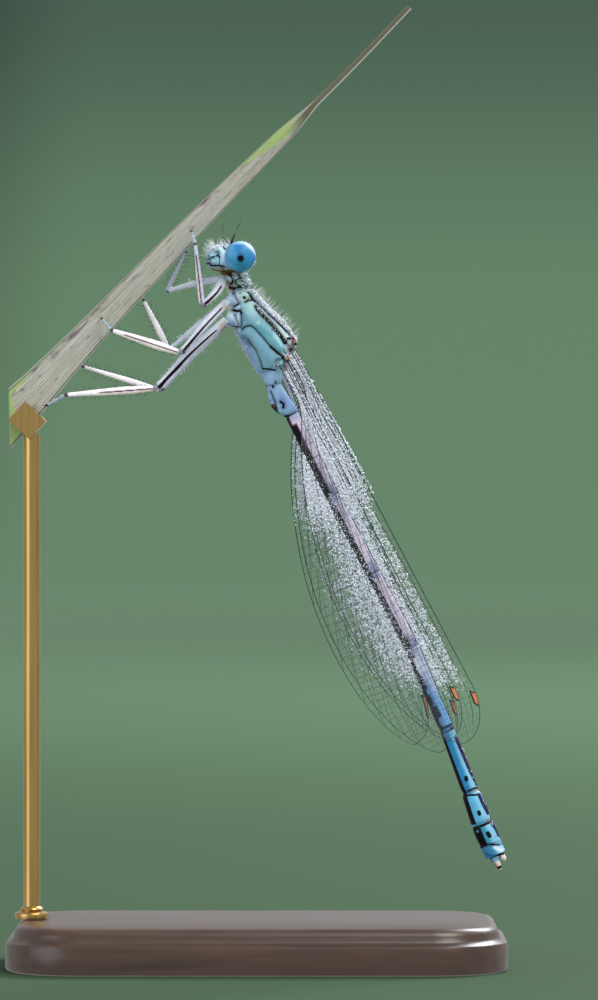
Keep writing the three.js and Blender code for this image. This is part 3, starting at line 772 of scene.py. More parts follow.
# %% The three small eyes, and the spot on the lip
for spot in [(0.5, 0, 0.72), (0.2, 0.24, 0.73), (0.2, -0.24, 0.73)]:
    ring = np.linalg.norm(head_at - spot, axis=1)
    draw(on_head, np.where(ring < 0.2, 0.035 - np.abs(ring - 0.13), -1))
lip_spot = 0.1 - np.hypot(face_l, (face_u + 0.3) * 1.2)
draw(on_head & (face_f > 1.2), lip_spot)
print("head now:", int((ink[on_head] > 0).sum()), "black points")

# %% [markdown]
# ## Neck colours
# The neck is a collar of small knobs, pale on top and black in the folds. Broad patches are laid
# first and small spots over them, as a painter works.

# %% Neck colours
ARCH = [[-1.3, 35.86], [-1.42, 36.0], [-1.6, 36.06], [-1.76, 35.96], [-1.86, 35.7]]
paint(on_neck, "#a9aca0")
paint(on_neck, "#a5c9c4", ramp(flank[:, 0], -1.2, -1.05))
paint(on_neck, "#cdbfa6", ramp(-flank[:, 0], 1.2, 1.3) * ramp(-flank[:, 1], -35.7, -35.6))
brush(on_neck, "#c6dcec", ARCH, 0.26, -0.03, 0.04)
paint(on_neck, "#c6dcec", ramp(inside(-1.13, 36.08, 0.16), 0, 0.06))
paint(on_neck, "#8d8a70", ramp(inside(-1.5, 35.72, 0.17), 0, 0.07))
paint(on_neck, "#8c9ba6", ramp(flank[:, 0], -0.74, -0.6))
collar_knob = inside(-0.92, 35.77, 0.2)
paint(on_neck, "#7fae9d", ramp(collar_knob, 0.0, 0.06))
brush(on_neck, "#b9d8d6", [[-1.2, 36.2], [-1.08, 35.98]], 0.2, -0.02, 0.04)
draw(on_neck, 0.03 - np.abs(collar_knob))
throat = ramp(0.13 - np.abs(flank[:, 1] - 36.22), 0, 0.05) * ramp(-flank[:, 0], 1.22, 1.34)
paint(on_neck | on_head, "#66522a", throat * ramp(flank[:, 0], -2.05, -1.85))
grooves(on_neck | on_thorax, [
    ([[-1.06, 36.34], [-0.93, 36.14], [-0.82, 35.98], [-0.72, 35.82]], 0.09),
    ([[-1.22, 35.9], [-1.26, 35.72], [-1.34, 35.62]], 0.1),
    ([[-1.4, 36.2], [-1.22, 35.95]], 0.05),
    ([[-1.42, 35.46], [-1.1, 35.46], [-0.84, 35.47]], 0.13),
    ([[-0.7, 35.62], [-0.5, 35.58], [-0.34, 35.52]], 0.06),
    ([[-1.22, 35.34], [-1.1, 35.44]], 0.09),
])
print("neck marks drawn:", int((ink[on_neck] > 0).sum()), "black points")

# %% [markdown]
# ## Thorax plates
# The flank is waxy blue, teal over the middle plates and lilac below, like the bloom on a plum.
# Noise would ignore the plates, so each gets a broad soft stroke of its own.

# %% Thorax plates
HIND_PLATE = [[-0.7, 33.2], [-0.2, 32.9], [0.35, 32.2], [0.85, 31.6]]
below = thorax_height + 0.42 + 0.05 * thorax_place
paint(on_thorax, "#7eb0bd")
paint(on_thorax, "#98bfc6", ramp(-thorax_place, -1.9, -1.0) * ramp(thorax_height, -0.35, 0.0))
brush(on_thorax, "#6f9dab", [[-0.7, 34.05], [-0.5, 33.72]], 0.5, 0.0, 0.24)
brush(on_thorax, "#5ba0ad", [[0.1, 33.4], [0.6, 32.9]], 0.6, 0.0, 0.26)
brush(on_thorax, "#6aa6b2", [[0.6, 32.85], [1.25, 32.2]], 0.5, 0.0, 0.2)
brush(on_thorax, "#9dd6e4", [[0.98, 33.02], [1.36, 32.5]], 0.46, 0.0, 0.2)
paint(on_thorax, "#a9c3d2", ramp(inside(0.09, 33.62, 0.15), 0, 0.1))
paint(on_thorax, "#bcb5a8", ramp(inside(-0.08, 34.58, 0.2), 0, 0.14) * 0.6)
brush(on_thorax, "#7aa9bc", HIND_PLATE, 1.0, 0.0, 0.3)
paint(on_thorax, "#86a6c8", ramp(-below, 0.0, 0.12) * ramp(thorax_place, 1.9, 2.4))
brush(on_thorax, "#5f7f8e", [[-0.75, 32.9], [-0.35, 32.5]], 0.5, 0.0, 0.2)
paint(on_thorax, "#b9d3e8", ramp(-flank[:, 0], 0.86, 0.98) * ramp(-thorax_place, -2.0, -1.85))
paint(on_thorax, "#a9cfc4", ramp(inside(-0.56, 35.08, 0.42, 0.9), 0, 0.2))
brush(on_thorax, "#c4dbe8", [[-0.93, 35.28], [-0.84, 34.9]], 0.14, -0.03, 0.03)
for x, z, size in ((-1.42, 35.38, 0.24), (-1.5, 34.38, 0.2), (-1.36, 33.42, 0.14)):
    paint(on_thorax | on_neck, "#bdb5a2", ramp(inside(x, z, size), 0, 0.1))
print("thorax ground:", int(on_thorax.sum()), "points")

# %% [markdown]
# ## Thorax stripes and sutures
# A black shoulder stripe and a thin line part the flank from the lilac back. A suture is a groove
# with dark skin in it, so these lines are both inked and pressed in.

# %% Thorax stripes and sutures
STRIPE = [[-0.01, 34.5], [0.08, 34.32], [0.26, 34.11], [0.58, 33.8], [0.89, 33.48],
          [1.15, 33.12], [1.36, 32.85], [1.49, 32.59]]
UPPER_LINE = [[-0.02, 34.79], [0.22, 34.56], [0.42, 34.36], [0.7, 34.08], [1.02, 33.79],
              [1.33, 33.49], [1.6, 33.2], [1.82, 33.0]]
BETWEEN_STRIPES = [[0.05, 34.64], [0.42, 34.12], [0.95, 33.63], [1.3, 33.25], [1.6, 32.85]]
between = ramp(stroke(flank, BETWEEN_STRIPES, 0.24), 0.0, 0.05)
paint(on_thorax, "#9fbac3", between)
paint(on_thorax, "#c4e0db", between * ramp(flank[:, 0], 0.95, 1.3))
past_line = thorax_height - np.interp(thorax_place, [0, 0.6, 1.0, 1.7, 2.5, 3.1, 3.6],
                                      [0.5, 0.6, 0.74, 1.02, 1.37, 1.62, 1.7])
paint(on_thorax, "#97a3bc", ramp(past_line, 0, 0.06))
back_ridge = 0.13 - np.abs(skin_points[:, 1]) - 0.02 * np.abs(thorax_place - 1.8)
draw(on_thorax & (thorax_height > 0.3), back_ridge)
draw(on_thorax | on_abdomen, stroke(flank, [[0.3, 31.2], [0.6, 31.22], [0.96, 31.15]], 0.09))
grooves(on_thorax, [
    (STRIPE, 0.2),
    (UPPER_LINE, 0.09),
    ([[-0.84, 35.47], [-0.52, 35.37], [-0.31, 35.16], [-0.22, 34.95], [-0.1, 34.83]], 0.15),
    ([[-0.63, 34.72], [-0.42, 34.83], [-0.21, 34.85], [0.0, 34.76]], 0.08),
    ([[-0.81, 33.27], [-0.68, 33.39], [-0.47, 33.46], [-0.29, 33.46], [-0.05, 33.27],
      [0.16, 33.04], [0.42, 32.75], [0.73, 32.38]], 0.06),
    ([[0.73, 32.38], [1.0, 32.15], [1.3, 31.9]], 0.13),
    ([[-1.26, 34.48], [-0.97, 34.63]], 0.09),
    ([[-1.28, 34.3], [-1.1, 34.24], [-0.9, 34.27], [-0.84, 34.12]], 0.13),
    ([[-1.26, 33.38], [-0.89, 33.39]], 0.05),
])
for x, z, size in ((-0.89, 35.19, 0.05), (-0.66, 34.95, 0.085), (0.81, 33.27, 0.045)):
    draw(on_thorax, inside(x, z, size))
print("stripes drawn:", int((ink[on_thorax] > 0).sum()), "black points")

# %% [markdown]
# ## Seams without ink
# Lower down the plates meet in blue-grey furrows without black. They are only pressed in and
# shaded, and the long belly seam has a pale lip behind it.

# %% Seams without ink
BELLY_LINE = [[-0.47, 32.72], [-0.26, 32.44], [-0.08, 32.23], [0.06, 31.9], [0.18, 31.6],
              [0.28, 31.26]]
for line in (
    [[-1.21, 35.21], [-1.1, 34.9], [-0.94, 34.64]],
    [[-1.18, 34.06], [-1.07, 33.75], [-0.97, 33.48]],
    [[-0.86, 34.06], [-0.81, 33.75], [-0.84, 33.43]],
    BELLY_LINE,
):
    press(on_thorax, stroke(flank, line, 0.05))
    brush(on_thorax, "#3f6076", line, 0.05, -0.015, 0.02)
brush(on_thorax, "#b8cfe4", BELLY_LINE, 0.06, -0.01, 0.02, flank - [0.07, 0.03])
brush(on_thorax, "#dbe8ee", [[1.05, 31.6], [0.87, 31.24]], 0.06, -0.01, 0.02)
print("seams pressed:", int((seam > 0).sum()), "points")

# %% [markdown]
# ## The wing hinges
# Where the wings join, the shell breaks up into small hard plates, lilac, cream and orange.
# Modelling each would cost more than the whole head, so they are spots of paint with a pressed rim.

# %% Wing hinge plates
hinges = on_thorax & (flank[:, 0] > 0.9)
brush(hinges, "#b5b3c8", [[2.05, 33.1], [1.72, 31.4]], 0.62, 0, 0.08)
for x, z, size, swatch in (
    (1.24, 31.5, 0.22, "#84bcc0"),
    (1.52, 31.93, 0.12, "#d6e4f0"),
    (1.67, 32.6, 0.17, "#c3cfc6"),
    (1.66, 32.3, 0.13, "#a8a2b6"),
    (1.8, 32.36, 0.08, "#e0d2b0"),
    (1.68, 31.8, 0.16, "#e09a62"),
    (2.0, 32.86, 0.13, "#e8a07a"),
    (2.03, 32.7, 0.12, "#e08e68"),
    (1.16, 31.08, 0.14, "#cbb9b8"),
    (1.42, 31.08, 0.14, "#b99c98"),
):
    paint(hinges, swatch, ramp(inside(x, z, size), 0, 0.04))
    press(hinges, 0.02 - np.abs(inside(x, z, size)))
brush(hinges, "#cfdcf2", [[1.52, 32.5], [1.5, 32.2], [1.44, 32.02]], 0.11, -0.02, 0.02)
for line, width in (
    ([[1.36, 31.86], [1.32, 31.8]], 0.19),
    ([[1.4, 31.76], [1.48, 31.58]], 0.1),
    ([[1.58, 31.62], [1.7, 31.56], [1.82, 31.66]], 0.09),
    ([[1.8, 32.22], [1.84, 32.12]], 0.18),
    ([[2.0, 32.52], [2.1, 32.5]], 0.14),
    ([[1.9, 32.8], [1.88, 32.5]], 0.06),
    ([[1.6, 32.84], [1.9, 32.88]], 0.12),
    ([[1.44, 31.16], [1.5, 31.22]], 0.13),
    ([[1.74, 32.0], [1.94, 32.02]], 0.05),
    ([[1.54, 32.46], [1.84, 32.44]], 0.03),
    ([[1.64, 31.4], [1.68, 31.3]], 0.09),
):
    draw(hinges, stroke(flank, line, width))
paint(on_thorax, "#8fa5bd", ramp(-thorax_height, 0.85, 1.0) * ramp(thorax_place, 0.9, 1.4))
print("hinges:", int(hinges.sum()), "points")

# %% [markdown]
# ## Abdomen colours
# Two rings are powder blue, four pinkish white with smoky joints, and the last four sky blue. The
# colours run into each other at the joints, so they are painted on one skin, by ring and by place
# along it.

# %% Ring colours
ring_of, ring_share = AB_NUMBER[ab_row], AB_SHARE[ab_row]
ring_place, left_over = AB_PLACE[ab_row], AB_LEFT_OVER[ab_row]
ring_size = AB_TOP[ab_row]
ab_up = np.einsum("ij,ij->i", skin_points - AB_POINTS[ab_row], AB_UPS[ab_row])
height = np.where(ab_up > 0, ab_up / ring_size, ab_up / AB_BOTTOM[ab_row])  # -1 belly, 1 back
GROUNDS = ["#8fb2d2", "#90b6d8", "#f6e4f6", "#f8ecff", "#f6e6fb", "#ecf4ff",
           "#2f86b9", "#60b6dc", "#3995b4", "#3f8ab4"]
SMOKE = "#8e9cc4"
for k, swatch in enumerate(GROUNDS):
    ring = on_abdomen & (ring_of == k)
    paint(ring, swatch)
    if 2 <= k <= 5:
        paint(ring, SMOKE, 0.85 * ramp(-left_over, -0.95, -0.35))
        paint(ring, "#a9bbdc", 0.8 * ramp(-ring_place, -0.45, -0.1))
    if k == 5:
        paint(ring, "#79b6ec", ramp(ring_share, 0.15, 0.6))
        paint(ring, "#5c97cf", ramp(-height, -0.2, 0.1) * ramp(ring_share, 0.2, 0.5))
        paint(ring, "#d3e0fa", ramp(height, 0.0, 0.4) * ramp(-ring_share, -0.75, -0.3))
    if k > 5:
        # Painted highlight: each blue tail ring is lighter towards its back.
        paint(ring, "#8ccbe8", 0.85 * ramp(height, -0.1, 0.45))
    if k == 1:
        paint(ring, "#88a6dc", ramp(height, 0.2, 0.8) * ramp(ring_share, 0.3, 0.7))
        paint(ring, "#7db7bd", ramp(-height, 0.35, 0.7) * ramp(ring_share, 0.6, 0.75))
print("rings painted:", len(GROUNDS))

# %% [markdown]
# ## Bands along the rings
# A black line runs under the belly and a thin band along the back. They follow the ring's own
# height, from -1 at the belly to 1 at the back, so they stay parallel to a body that bends.

# %% Belly stripe, back band and joints
BELLY_STRIPE = [0.0, 0.0, 0.92, 0.86, 0.82, 0.45, 0.46, 0.46, 0.7, 0.0]
BACK_BAND = [0.0, 0.0, 0.1, 0.1, 0.12, 0.14, 0.07, 0.08, 0.08, 0.0]
above_belly = (1 + height) * ring_size  # mm up from the belly
under_back = (1 - height) * ring_size
for k in range(len(SEGMENTS)):
    ring = on_abdomen & (ring_of == k)
    stripe = BELLY_STRIPE[k] * ring_size - above_belly
    if k == 2:
        stripe = np.minimum(stripe, np.maximum((ring_place - 0.5) * 0.6, 0.12 - above_belly))
        paint(ring, "#6a3244", ramp(stripe, -0.08, -0.02))
    elif k <= 5:
        stripe = np.minimum(stripe, 0.16 + 0.5 * (ring_place - 0.15) - above_belly)
    if k == 6:
        stripe = stripe - 0.05 * (1 - ring_share)
    if k == 7:
        stripe = np.minimum(stripe, left_over - 0.16)
    if BELLY_STRIPE[k]:
        draw(ring, stripe)
    if k >= 2:
        band = BACK_BAND[k] * ring_size - under_back
        draw(ring, np.minimum(band, ring_place - 0.1 if k < 6 else band))
    if k < 6:
        draw(ring, 0.035 - left_over)
        press(ring, 0.04 - left_over)
    if 2 <= k <= 5:
        belly_spot = np.hypot((left_over - 0.12) / 1.6, (height + 0.72) * ring_size)
        draw(ring, 0.13 - belly_spot)
print("bands drawn:", int((ink[on_abdomen] > 0).sum()), "black points")

# %% [markdown]
# ## Marks on the blue tail
# The last rings carry a violet line, slanting black bars and one dark dot on each side. The bars
# have clean straight edges, so they are strokes between a few corners.

# %% Marks on the tail
tail = on_abdomen & (ring_of >= 6)
VIOLET = "#221a4a"
for line, width, swatch in (
    ([[10.42, 11.9], [10.75, 11.15], [11.15, 10.2], [11.52, 9.5]], 0.2, VIOLET),
    ([[11.62, 8.95], [11.84, 8.45], [12.1, 7.98]], 0.2, VIOLET),
    ([[12.3, 7.42], [12.52, 7.1], [12.66, 6.8]], 0.16, VIOLET),
    ([[11.3, 9.12], [11.6, 9.22]], 0.09, "#c9a9b0"),
    ([[12.14, 7.68], [12.3, 7.74]], 0.09, "#c9b9c0"),
    ([[11.38, 7.2], [11.5, 7.02]], 0.13, "#4f9f9c"),
    ([[12.0, 5.84], [12.3, 5.76], [12.62, 5.8]], 0.07, "#24506e"),
):
    brush(tail, swatch, line, width)
for line, width in (
    ([[11.02, 9.14], [11.4, 9.3], [11.66, 9.34]], 0.085),
    ([[10.8, 8.84], [11.15, 8.94], [11.5, 8.95]], 0.12),
    ([[11.4, 7.16], [11.75, 7.32], [12.1, 7.47], [12.34, 7.6]], 0.13),
    ([[11.76, 6.28], [12.2, 6.35], [12.74, 6.34]], 0.08),
    ([[12.58, 5.78], [12.9, 5.86]], 0.12),
    ([[11.5, 6.9], [11.74, 6.45]], 0.4),
    ([[10.94, 9.84], [10.96, 9.74]], 0.21),
    ([[11.6, 8.04], [11.64, 7.94]], 0.2),
    ([[12.08, 6.94], [12.16, 6.8]], 0.23),
    ([[9.86, 12.5], [10.2, 12.42], [10.42, 12.56]], 0.1),
):
    draw(tail, stroke(flank, line, width))
for line in (
    [[10.8, 8.99], [11.66, 9.26]],
    [[11.4, 7.3], [12.34, 7.68]],
    [[11.7, 6.3], [12.8, 6.35]],
):
    press(tail, stroke(flank, line, 0.06))
ink[tail] = np.minimum(ink[tail], -inside(11.53, 7.02, 0.07)[tail])  # a clear dot in a black bar
print("tail marks drawn:", int((ink[tail] > 0).sum()), "black points")

# %% [markdown]
# ## Stains on the pale rings
# Body fluid dries to inky blots along the underside of the pale rings. They follow no pattern, so
# each is a stroke of its own.

# %% Stains on the pale rings
for line, width in (
    ([[3.28, 25.5], [3.42, 25.35]], 0.16),
    ([[3.62, 24.62], [3.95, 24.8]], 0.12),
    ([[3.62, 24.55], [3.85, 24.3]], 0.2),
    ([[5.85, 20.55], [6.1, 20.3]], 0.16),
    ([[7.75, 17.1], [7.95, 16.75]], 0.2),
    ([[8.0, 16.35], [8.2, 16.15]], 0.14),
    ([[8.3, 17.05], [8.34, 17.0]], 0.1),
    ([[8.5, 15.2], [8.8, 14.5]], 0.2),
    ([[9.0, 14.1], [9.2, 13.7]], 0.14),
    ([[9.3, 13.45], [9.5, 13.1]], 0.3),
    ([[9.72, 12.42], [10.3, 12.68]], 0.14),
    ([[9.8, 12.2], [10.3, 12.4]], 0.08),
):
    brush(on_abdomen, "#1d2550", line, width, -0.04)
# Painted highlight: a pale streak on the back of the last ring.
brush(tail, "#c6e2ee", [[12.45, 6.22], [12.85, 6.0]], 0.3, -0.02, 0.1)
print("darkest tint on the abdomen:", round(float(tint[on_abdomen].min()), 3))

# %% [markdown]
# ## The first two rings
# These rings are short and deep, and the second carries the male's mating organ in a fold below,
# edged brown and black.

# %% The first two rings
first_two = on_abdomen & (ring_of < 2)
second = on_abdomen & (ring_of == 1)
brush(first_two, "#9b8a94", [[0.1, 30.95], [0.2, 30.7]], 0.2, -0.02, 0.04)
brush(first_two, "#8fb6da", [[0.45, 30.1], [0.6, 29.6]], 0.3, -0.02, 0.05)
brush(second, "#8ea4de", [[1.3, 29.85], [1.42, 29.5]], 0.3, -0.08, 0.1)
brush(second, "#74402f", [[0.83, 29.28], [0.95, 29.12]], 0.26, 0.0, 0.03)
brush(second, "#6caea6", [[1.0, 28.84], [1.3, 28.5]], 0.22, -0.03, 0.03)
grooves(first_two, [
    ([[0.33, 30.4], [0.42, 30.3], [0.42, 29.6]], 0.07),
    ([[0.68, 30.05], [0.94, 29.46], [1.02, 29.05]], 0.055),
    ([[0.42, 29.62], [0.6, 29.56]], 0.05),
    ([[0.6, 29.34], [0.94, 29.03], [1.34, 28.54]], 0.1),
    ([[1.23, 29.5], [1.4, 29.38], [1.37, 29.2]], 0.12),
    ([[1.32, 28.64], [1.62, 28.74]], 0.14),
    ([[1.6, 28.74], [2.12, 28.99]], 0.075),
    ([[0.84, 30.3], [0.84, 30.28]], 0.12),
    ([[1.0, 30.5], [1.0, 30.48]], 0.1),
])
print("first two rings:", int(first_two.sum()), "points")

# %% [markdown]
# ## The claspers
# The male holds his mate with two pairs of claspers. The upper are white with a wine-red line, the
# lower blue at the root and tan at the tip, with a black collar.

# %% Claspers
tip_way, tip_up = leaning(SEGMENTS[-1][1])
tip = (skin_points - AB_POINTS[-1]) @ tip_way
lift = (skin_points - AB_POINTS[-1]) @ tip_up
upper_pair = on_abdomen & (tip > 0.04) & (lift > 0.06)
lower_pair = on_abdomen & (tip > 0.04) & (lift <= 0.06)
paint(lower_pair, "#74a6c4")
paint(lower_pair, "#ead6c4", ramp(tip, 0.28, 0.4))
paint(lower_pair, "#c4824f", ramp(tip, 0.3, 0.4) * ramp(-lift, 0.16, 0.2))
draw(lower_pair, np.minimum(tip - 0.6, 0.75 - tip))
paint(upper_pair, "#f0eaee")
paint(upper_pair, "#6a1420", ramp(0.05 - np.abs(lift - 0.14), 0, 0.02))
draw(lower_pair, 0.03 - np.abs(lift + 0.34))
draw(on_abdomen & (tip > 0.02), 0.025 - np.abs(tip - 0.05))
print("claspers:", int(upper_pair.sum() + lower_pair.sum()), "points")

# %% [markdown]
# ## Leg colours
# The thighs are pale lilac with one dark line outside, the shins white with a fine maroon line. The
# marks follow each limb's own axis, which an image wrapped round six bent legs would hardly do.

# %% Leg colours
def colour_thigh(mine, name, rise, outer, along):
    hind = name.startswith("hind")
    level = -0.09 if hind else -0.04
    width = 0.085 + (0.14 if hind else 0.1) * along**2
    begin = 0.3 if name.startswith("front") else 0.14
    dark_line = np.minimum(width / 2 - np.abs(rise - level), 0.3 * (along - begin))
    paint(mine, "#b4a297", ramp(-along, -0.15, -0.06) * 0.9)
    if hind:
        outer_face = mine & (outer > 0)
        draw(outer_face, dark_line)
        draw(outer_face, np.minimum(0.036 - np.abs(rise + 0.15), 0.3 * (along - 0.66)))
    else:
        paint(mine, "#260812", ramp(np.where(outer > 0, dark_line, -1), -0.012, 0.008))
    paint(mine, "#c9d2e4", ramp(rise, 0.0, 0.12) * 0.7)
    paint(mine, "#8d8f98", ramp(along, 0.95, 0.97))
    draw(mine, np.minimum(0.5 * (along - 0.96), 0.02 - rise))


def colour_shin(mine, name, rise, outer, along):
    paint(mine, "#b4bace" if name.startswith("front") else "#fdfaff")
    paint(mine, "#e6dfc6", ramp(-rise, 0.06, 0.12) * 0.8)
    reach = 0.62 if name.startswith("hind") else 0.8
    hair_line = np.minimum(0.034 - np.abs(rise + 0.02), 0.3 * (reach - along))
    paint(mine, "#5c1420", ramp(np.where(outer > 0, hair_line, -1), -0.012, 0.008))
    paint(mine, "#8d8f98", ramp(-along, -0.05, -0.02))
    paint(mine, "#54464a", ramp(along, 0.965, 0.98))


def colour_foot(mine, name, rise, outer, along):
    paint(mine, "#a4b4bf")
    draw(mine, 0.5 * (along - 0.9))


paint(on_leg, "#cfd6e2")
for code, row in leg_rows.items():
    name, joint = list(LEG_LINES)[code // 3], code % 3
    line, _, broad, _, _ = LEG_LINES[name][joint]
    away = np.einsum("ij,ij->i", skin_points - line[row], broad[row])
    rise = away * np.sign(broad[row, 2] + 1e-9)  # mm above the limb's axis
    outer = SIDES[name.split("_")[1]] * (skin_points[:, 1] - line[row, 1])
    finish_limb = (colour_thigh, colour_shin, colour_foot)[joint]
    finish_limb(on_leg & (leg_of == code), name, rise, outer, row / (len(line) - 1))
print("limbs painted:", len(leg_rows))

# %% [markdown]
# ## Cuticle
# An insect's shell is chitin, hard and slightly waxy, with a soft broad highlight over cloudy
# colour. The shader reads paint and ink from the mesh, and a fine noise frays the ink's edge a
# little, as pigment spreads.

# %% Waxy cuticle
cuticle, tree, shader = start_material(
    "insect_cuticle_waxy", Roughness=0.45, IOR=1.5, Specular_IOR_Level=0.13,
    Subsurface_Weight=0.05, Subsurface_Scale=0.0002)
where = add(tree, "TexCoord").outputs["Object"]
cloud = add(tree, "TexNoise", {"Vector": where, "Scale": 1 / (0.5 * MM), "Detail": 4.0})
grain = add(tree, "TexNoise", {"Vector": where, "Scale": 1 / (0.06 * MM), "Detail": 2.0})
painted = add(tree, "Attribute", attribute_name="tint")
shade = add(tree, "MapRange", {"Value": cloud.outputs["Fac"], "From Min": 0.3, "From Max": 0.7,
                               "To Min": 0.86, "To Max": 1.1})
shaded = add(tree, "VectorMath", {0: painted.outputs["Color"], "Scale": shade.outputs["Result"]},
             operation="SCALE")
inked = add(tree, "Attribute", attribute_name="ink")
wobble = add(tree, "Math", {0: grain.outputs["Fac"], 1: 0.03, 2: inked.outputs["Fac"]},
             operation="MULTIPLY_ADD")
edge = add(tree, "MapRange", {"Value": wobble.outputs[0], "From Min": 0.003, "From Max": 0.027},
           interpolation_type="SMOOTHSTEP")
black = add(tree, "Mix", {0: cloud.outputs["Fac"], 6: colour("#030308"), 7: colour("#140b18")},
            data_type="RGBA")
worn = add(tree, "Mix", {0: edge.outputs["Result"], 6: shaded.outputs[0], 7: black.outputs[2]},
           data_type="RGBA")
tree.links.new(worn.outputs[2], shader.inputs["Base Color"])
pores = add(tree, "Bump", {"Strength": 0.35, "Distance": 0.012 * MM, "Height": grain.outputs["Fac"]})
tree.links.new(pores.outputs["Normal"], shader.inputs["Normal"])
print("cuticle nodes:", len(tree.nodes))

# %% [markdown]
# ## The finished skin
# Every plate swells between its seams, so the surface sinks softly towards a groove. A bump map
# would shade the same but give no real edge. Shade is painted beside the seams and darkens the paint.

# %% Press the seams in, and make the skin piece
# Painted shade: the paint is darkened beside every seam, less on the head.
seam_shade = np.where(on_head, 0.2, 0.45) * ramp(seam, -0.14, 0.0)
tint *= (1 - seam_shade)[:, None]
sunk = 0.075 * np.exp(np.minimum(seam, 0) / 0.13)
pressed = skin_points - skin_normals * sunk[:, None]

skin = make_piece("damselfly_skin", pressed, skin_faces, cuticle)
write_attribute(skin.data, "tint", "FLOAT_COLOR", np.column_stack([tint, np.ones(len(tint))]))
write_attribute(skin.data, "ink", "FLOAT", ink)
flesh = ["head", "prothorax", "pterothorax"] + [f"abdomen_{k + 1}" for k in range(len(SEGMENTS))]
flesh += [f"leg_{name}_{part}" for name in LEGS for part in ("femur", "tibia", "tarsus")]
finish_piece(skin, "thorax", *flesh)

# %% [markdown]
# ## The eyes
# A damselfly's eyes are domes of thousands of lenses, 0.03 mm across. Modelling them would take
# millions of faces. They are hinted at by a honeycomb bump, drawn at 0.05 mm so that it shows at
# all.

# %% Eye material
LENS = 0.05  # mm, coarser than life


def eye_material():
    material, tree, shader = start_material(
        "compound_eye_lens", Roughness=0.42, IOR=1.5, Specular_IOR_Level=0.14)
    painted = add(tree, "Attribute", attribute_name="tint")
    where = add(tree, "TexCoord").outputs["Object"]
    lens = add(tree, "TexVoronoi", {"Vector": where, "Scale": 1 / (LENS * MM)})
    dome = add(tree, "Bump", {"Strength": 0.25, "Distance": 0.01 * MM,
                              "Height": lens.outputs["Distance"]}, invert=True)
    cloud = add(tree, "TexNoise", {"Vector": where, "Scale": 1 / (0.35 * MM), "Detail": 2.0})
    shade = add(tree, "MapRange", {"Value": cloud.outputs["Fac"], "From Min": 0.3, "From Max": 0.7,
                                   "To Min": 0.85, "To Max": 1.12})
    shaded = add(tree, "VectorMath", {0: painted.outputs["Color"], "Scale": shade.outputs["Result"]},
                 operation="SCALE")
    tree.links.new(shaded.outputs[0], shader.inputs["Base Color"])
    tree.links.new(dome.outputs["Normal"], shader.inputs["Normal"])
    return material


lens_material = eye_material()
print("lens pattern:", LENS, "mm")

# %% [markdown]
# ## The two domes
# Each dome is blue, teal below, with a painted highlight of sky above. The dark spot seems to follow
# the viewer in life. A still model fixes it where the dome faces straight out to the side.

# %% Eyes
def make_eye(label, side, material):
    centre = head_point(0, -side * EYE_OUT, 0)
    axes = np.array([-side * LEFTWARD, FORWARD, UP])
    points, faces = ball(centre, [0.79, 0.81, 0.8], axes, 96)
    way = unit(points - centre)
    out, fore, up = (way @ axes.T).T
    spot = 0.21 - np.linalg.norm(way - unit(np.array([0.04, side, -0.17])), axis=1)
    hind_flush = ramp(-fore, 0.45, 0.85) * ramp(-np.abs(up + 0.1), -0.4, -0.1)
    shades = [
        ("#2f8fae", ramp(-up, 0.0, 0.6)),
        ("#5aa6cf", ramp(fore, 0.25, 0.8) * 0.85),
        ("#2f78bd", ramp(0.36 - np.hypot(fore - 0.35, up - 0.6), 0, 0.25) * 0.6),
        ("#3f70c0", hind_flush * 0.8),
        ("#86a4de", ramp(0.75 * up - 0.5 * fore, 0.35, 0.75) * 0.7),
        # painted highlight: the pale top and the pale crescent above and behind stand in for sky light
        ("#a9d2e9", ramp(up, 0.7, 0.94) * 0.85),
        ("#b3cce9", ramp(0.72 * up - 0.7 * fore, 0.58, 0.82) * 0.85),
        ("#123a5c", ramp(0.3 - out, 0.0, 0.5) * 0.2),
        ("#1d5a84", ramp(spot, -0.2, -0.02) * 0.6),
        ("#000102", ramp(spot, -0.035, 0.03)),
    ]
    tones = np.tile(sheet("#3884b6"), (len(points), 1))
    for swatch, weight in shades:
        tones = blend(tones, sheet(swatch), weight)
    eye = make_piece(f"eye_{label}_dome", points, faces, material)
    write_attribute(eye.data, "tint", "FLOAT_COLOR", np.column_stack([tones, np.ones(len(tones))]))
    finish_piece(eye, "eye", f"eye_{label}")


for label, side in SIDES.items():
    make_eye(label, side, lens_material)

# %% [markdown]
# ## Feelers
# The feelers are stiff black bristles with two thick joints at the root. A cone would be quicker,
# but the step in thickness after each joint makes a feeler look like one.

# %% Feelers
horn = mottled("black_horn_cuticle", "#0f0d0f", "#33292a", 0.15, Roughness=0.35, IOR=1.56)
FEELERS = {"left": [[0.33, 0.75, 0.7], [0.26, 0.86, 0.98], [0.08, 1.0, 1.45], [-0.1, 1.18, 1.84]],
           "right": [[0.33, -0.75, 0.7], [0.36, -0.86, 0.98], [0.36, -1.0, 1.45], [0.3, -1.18, 1.84]]}
FEELER_SIZES = [[0, 0.075], [0.16, 0.07], [0.2, 0.055], [0.34, 0.052], [0.38, 0.03], [0.7, 0.022],
                [1, 0.01]]
for label, corners in FEELERS.items():
    line = spline([head_point(*corner) for corner in corners], 40)
    tangent = unit(np.gradient(line, axis=0))
    across = unit(np.cross(tangent, FORWARD))
    size = soft(FEELER_SIZES, np.linspace(0, 1, 40))
    shape = tube(line, across, np.cross(tangent, across), size, size, size, 12)
    finish_piece(make_piece(f"feeler_{label}", *shape, horn), "feeler", f"antenna_{label}")

# %% [markdown]
# ## Claws
# Every foot ends in two hooked claws that grip the leaf. They part sideways and then curl inward,
# so each follows a short bent line. All twelve are one piece of horn.

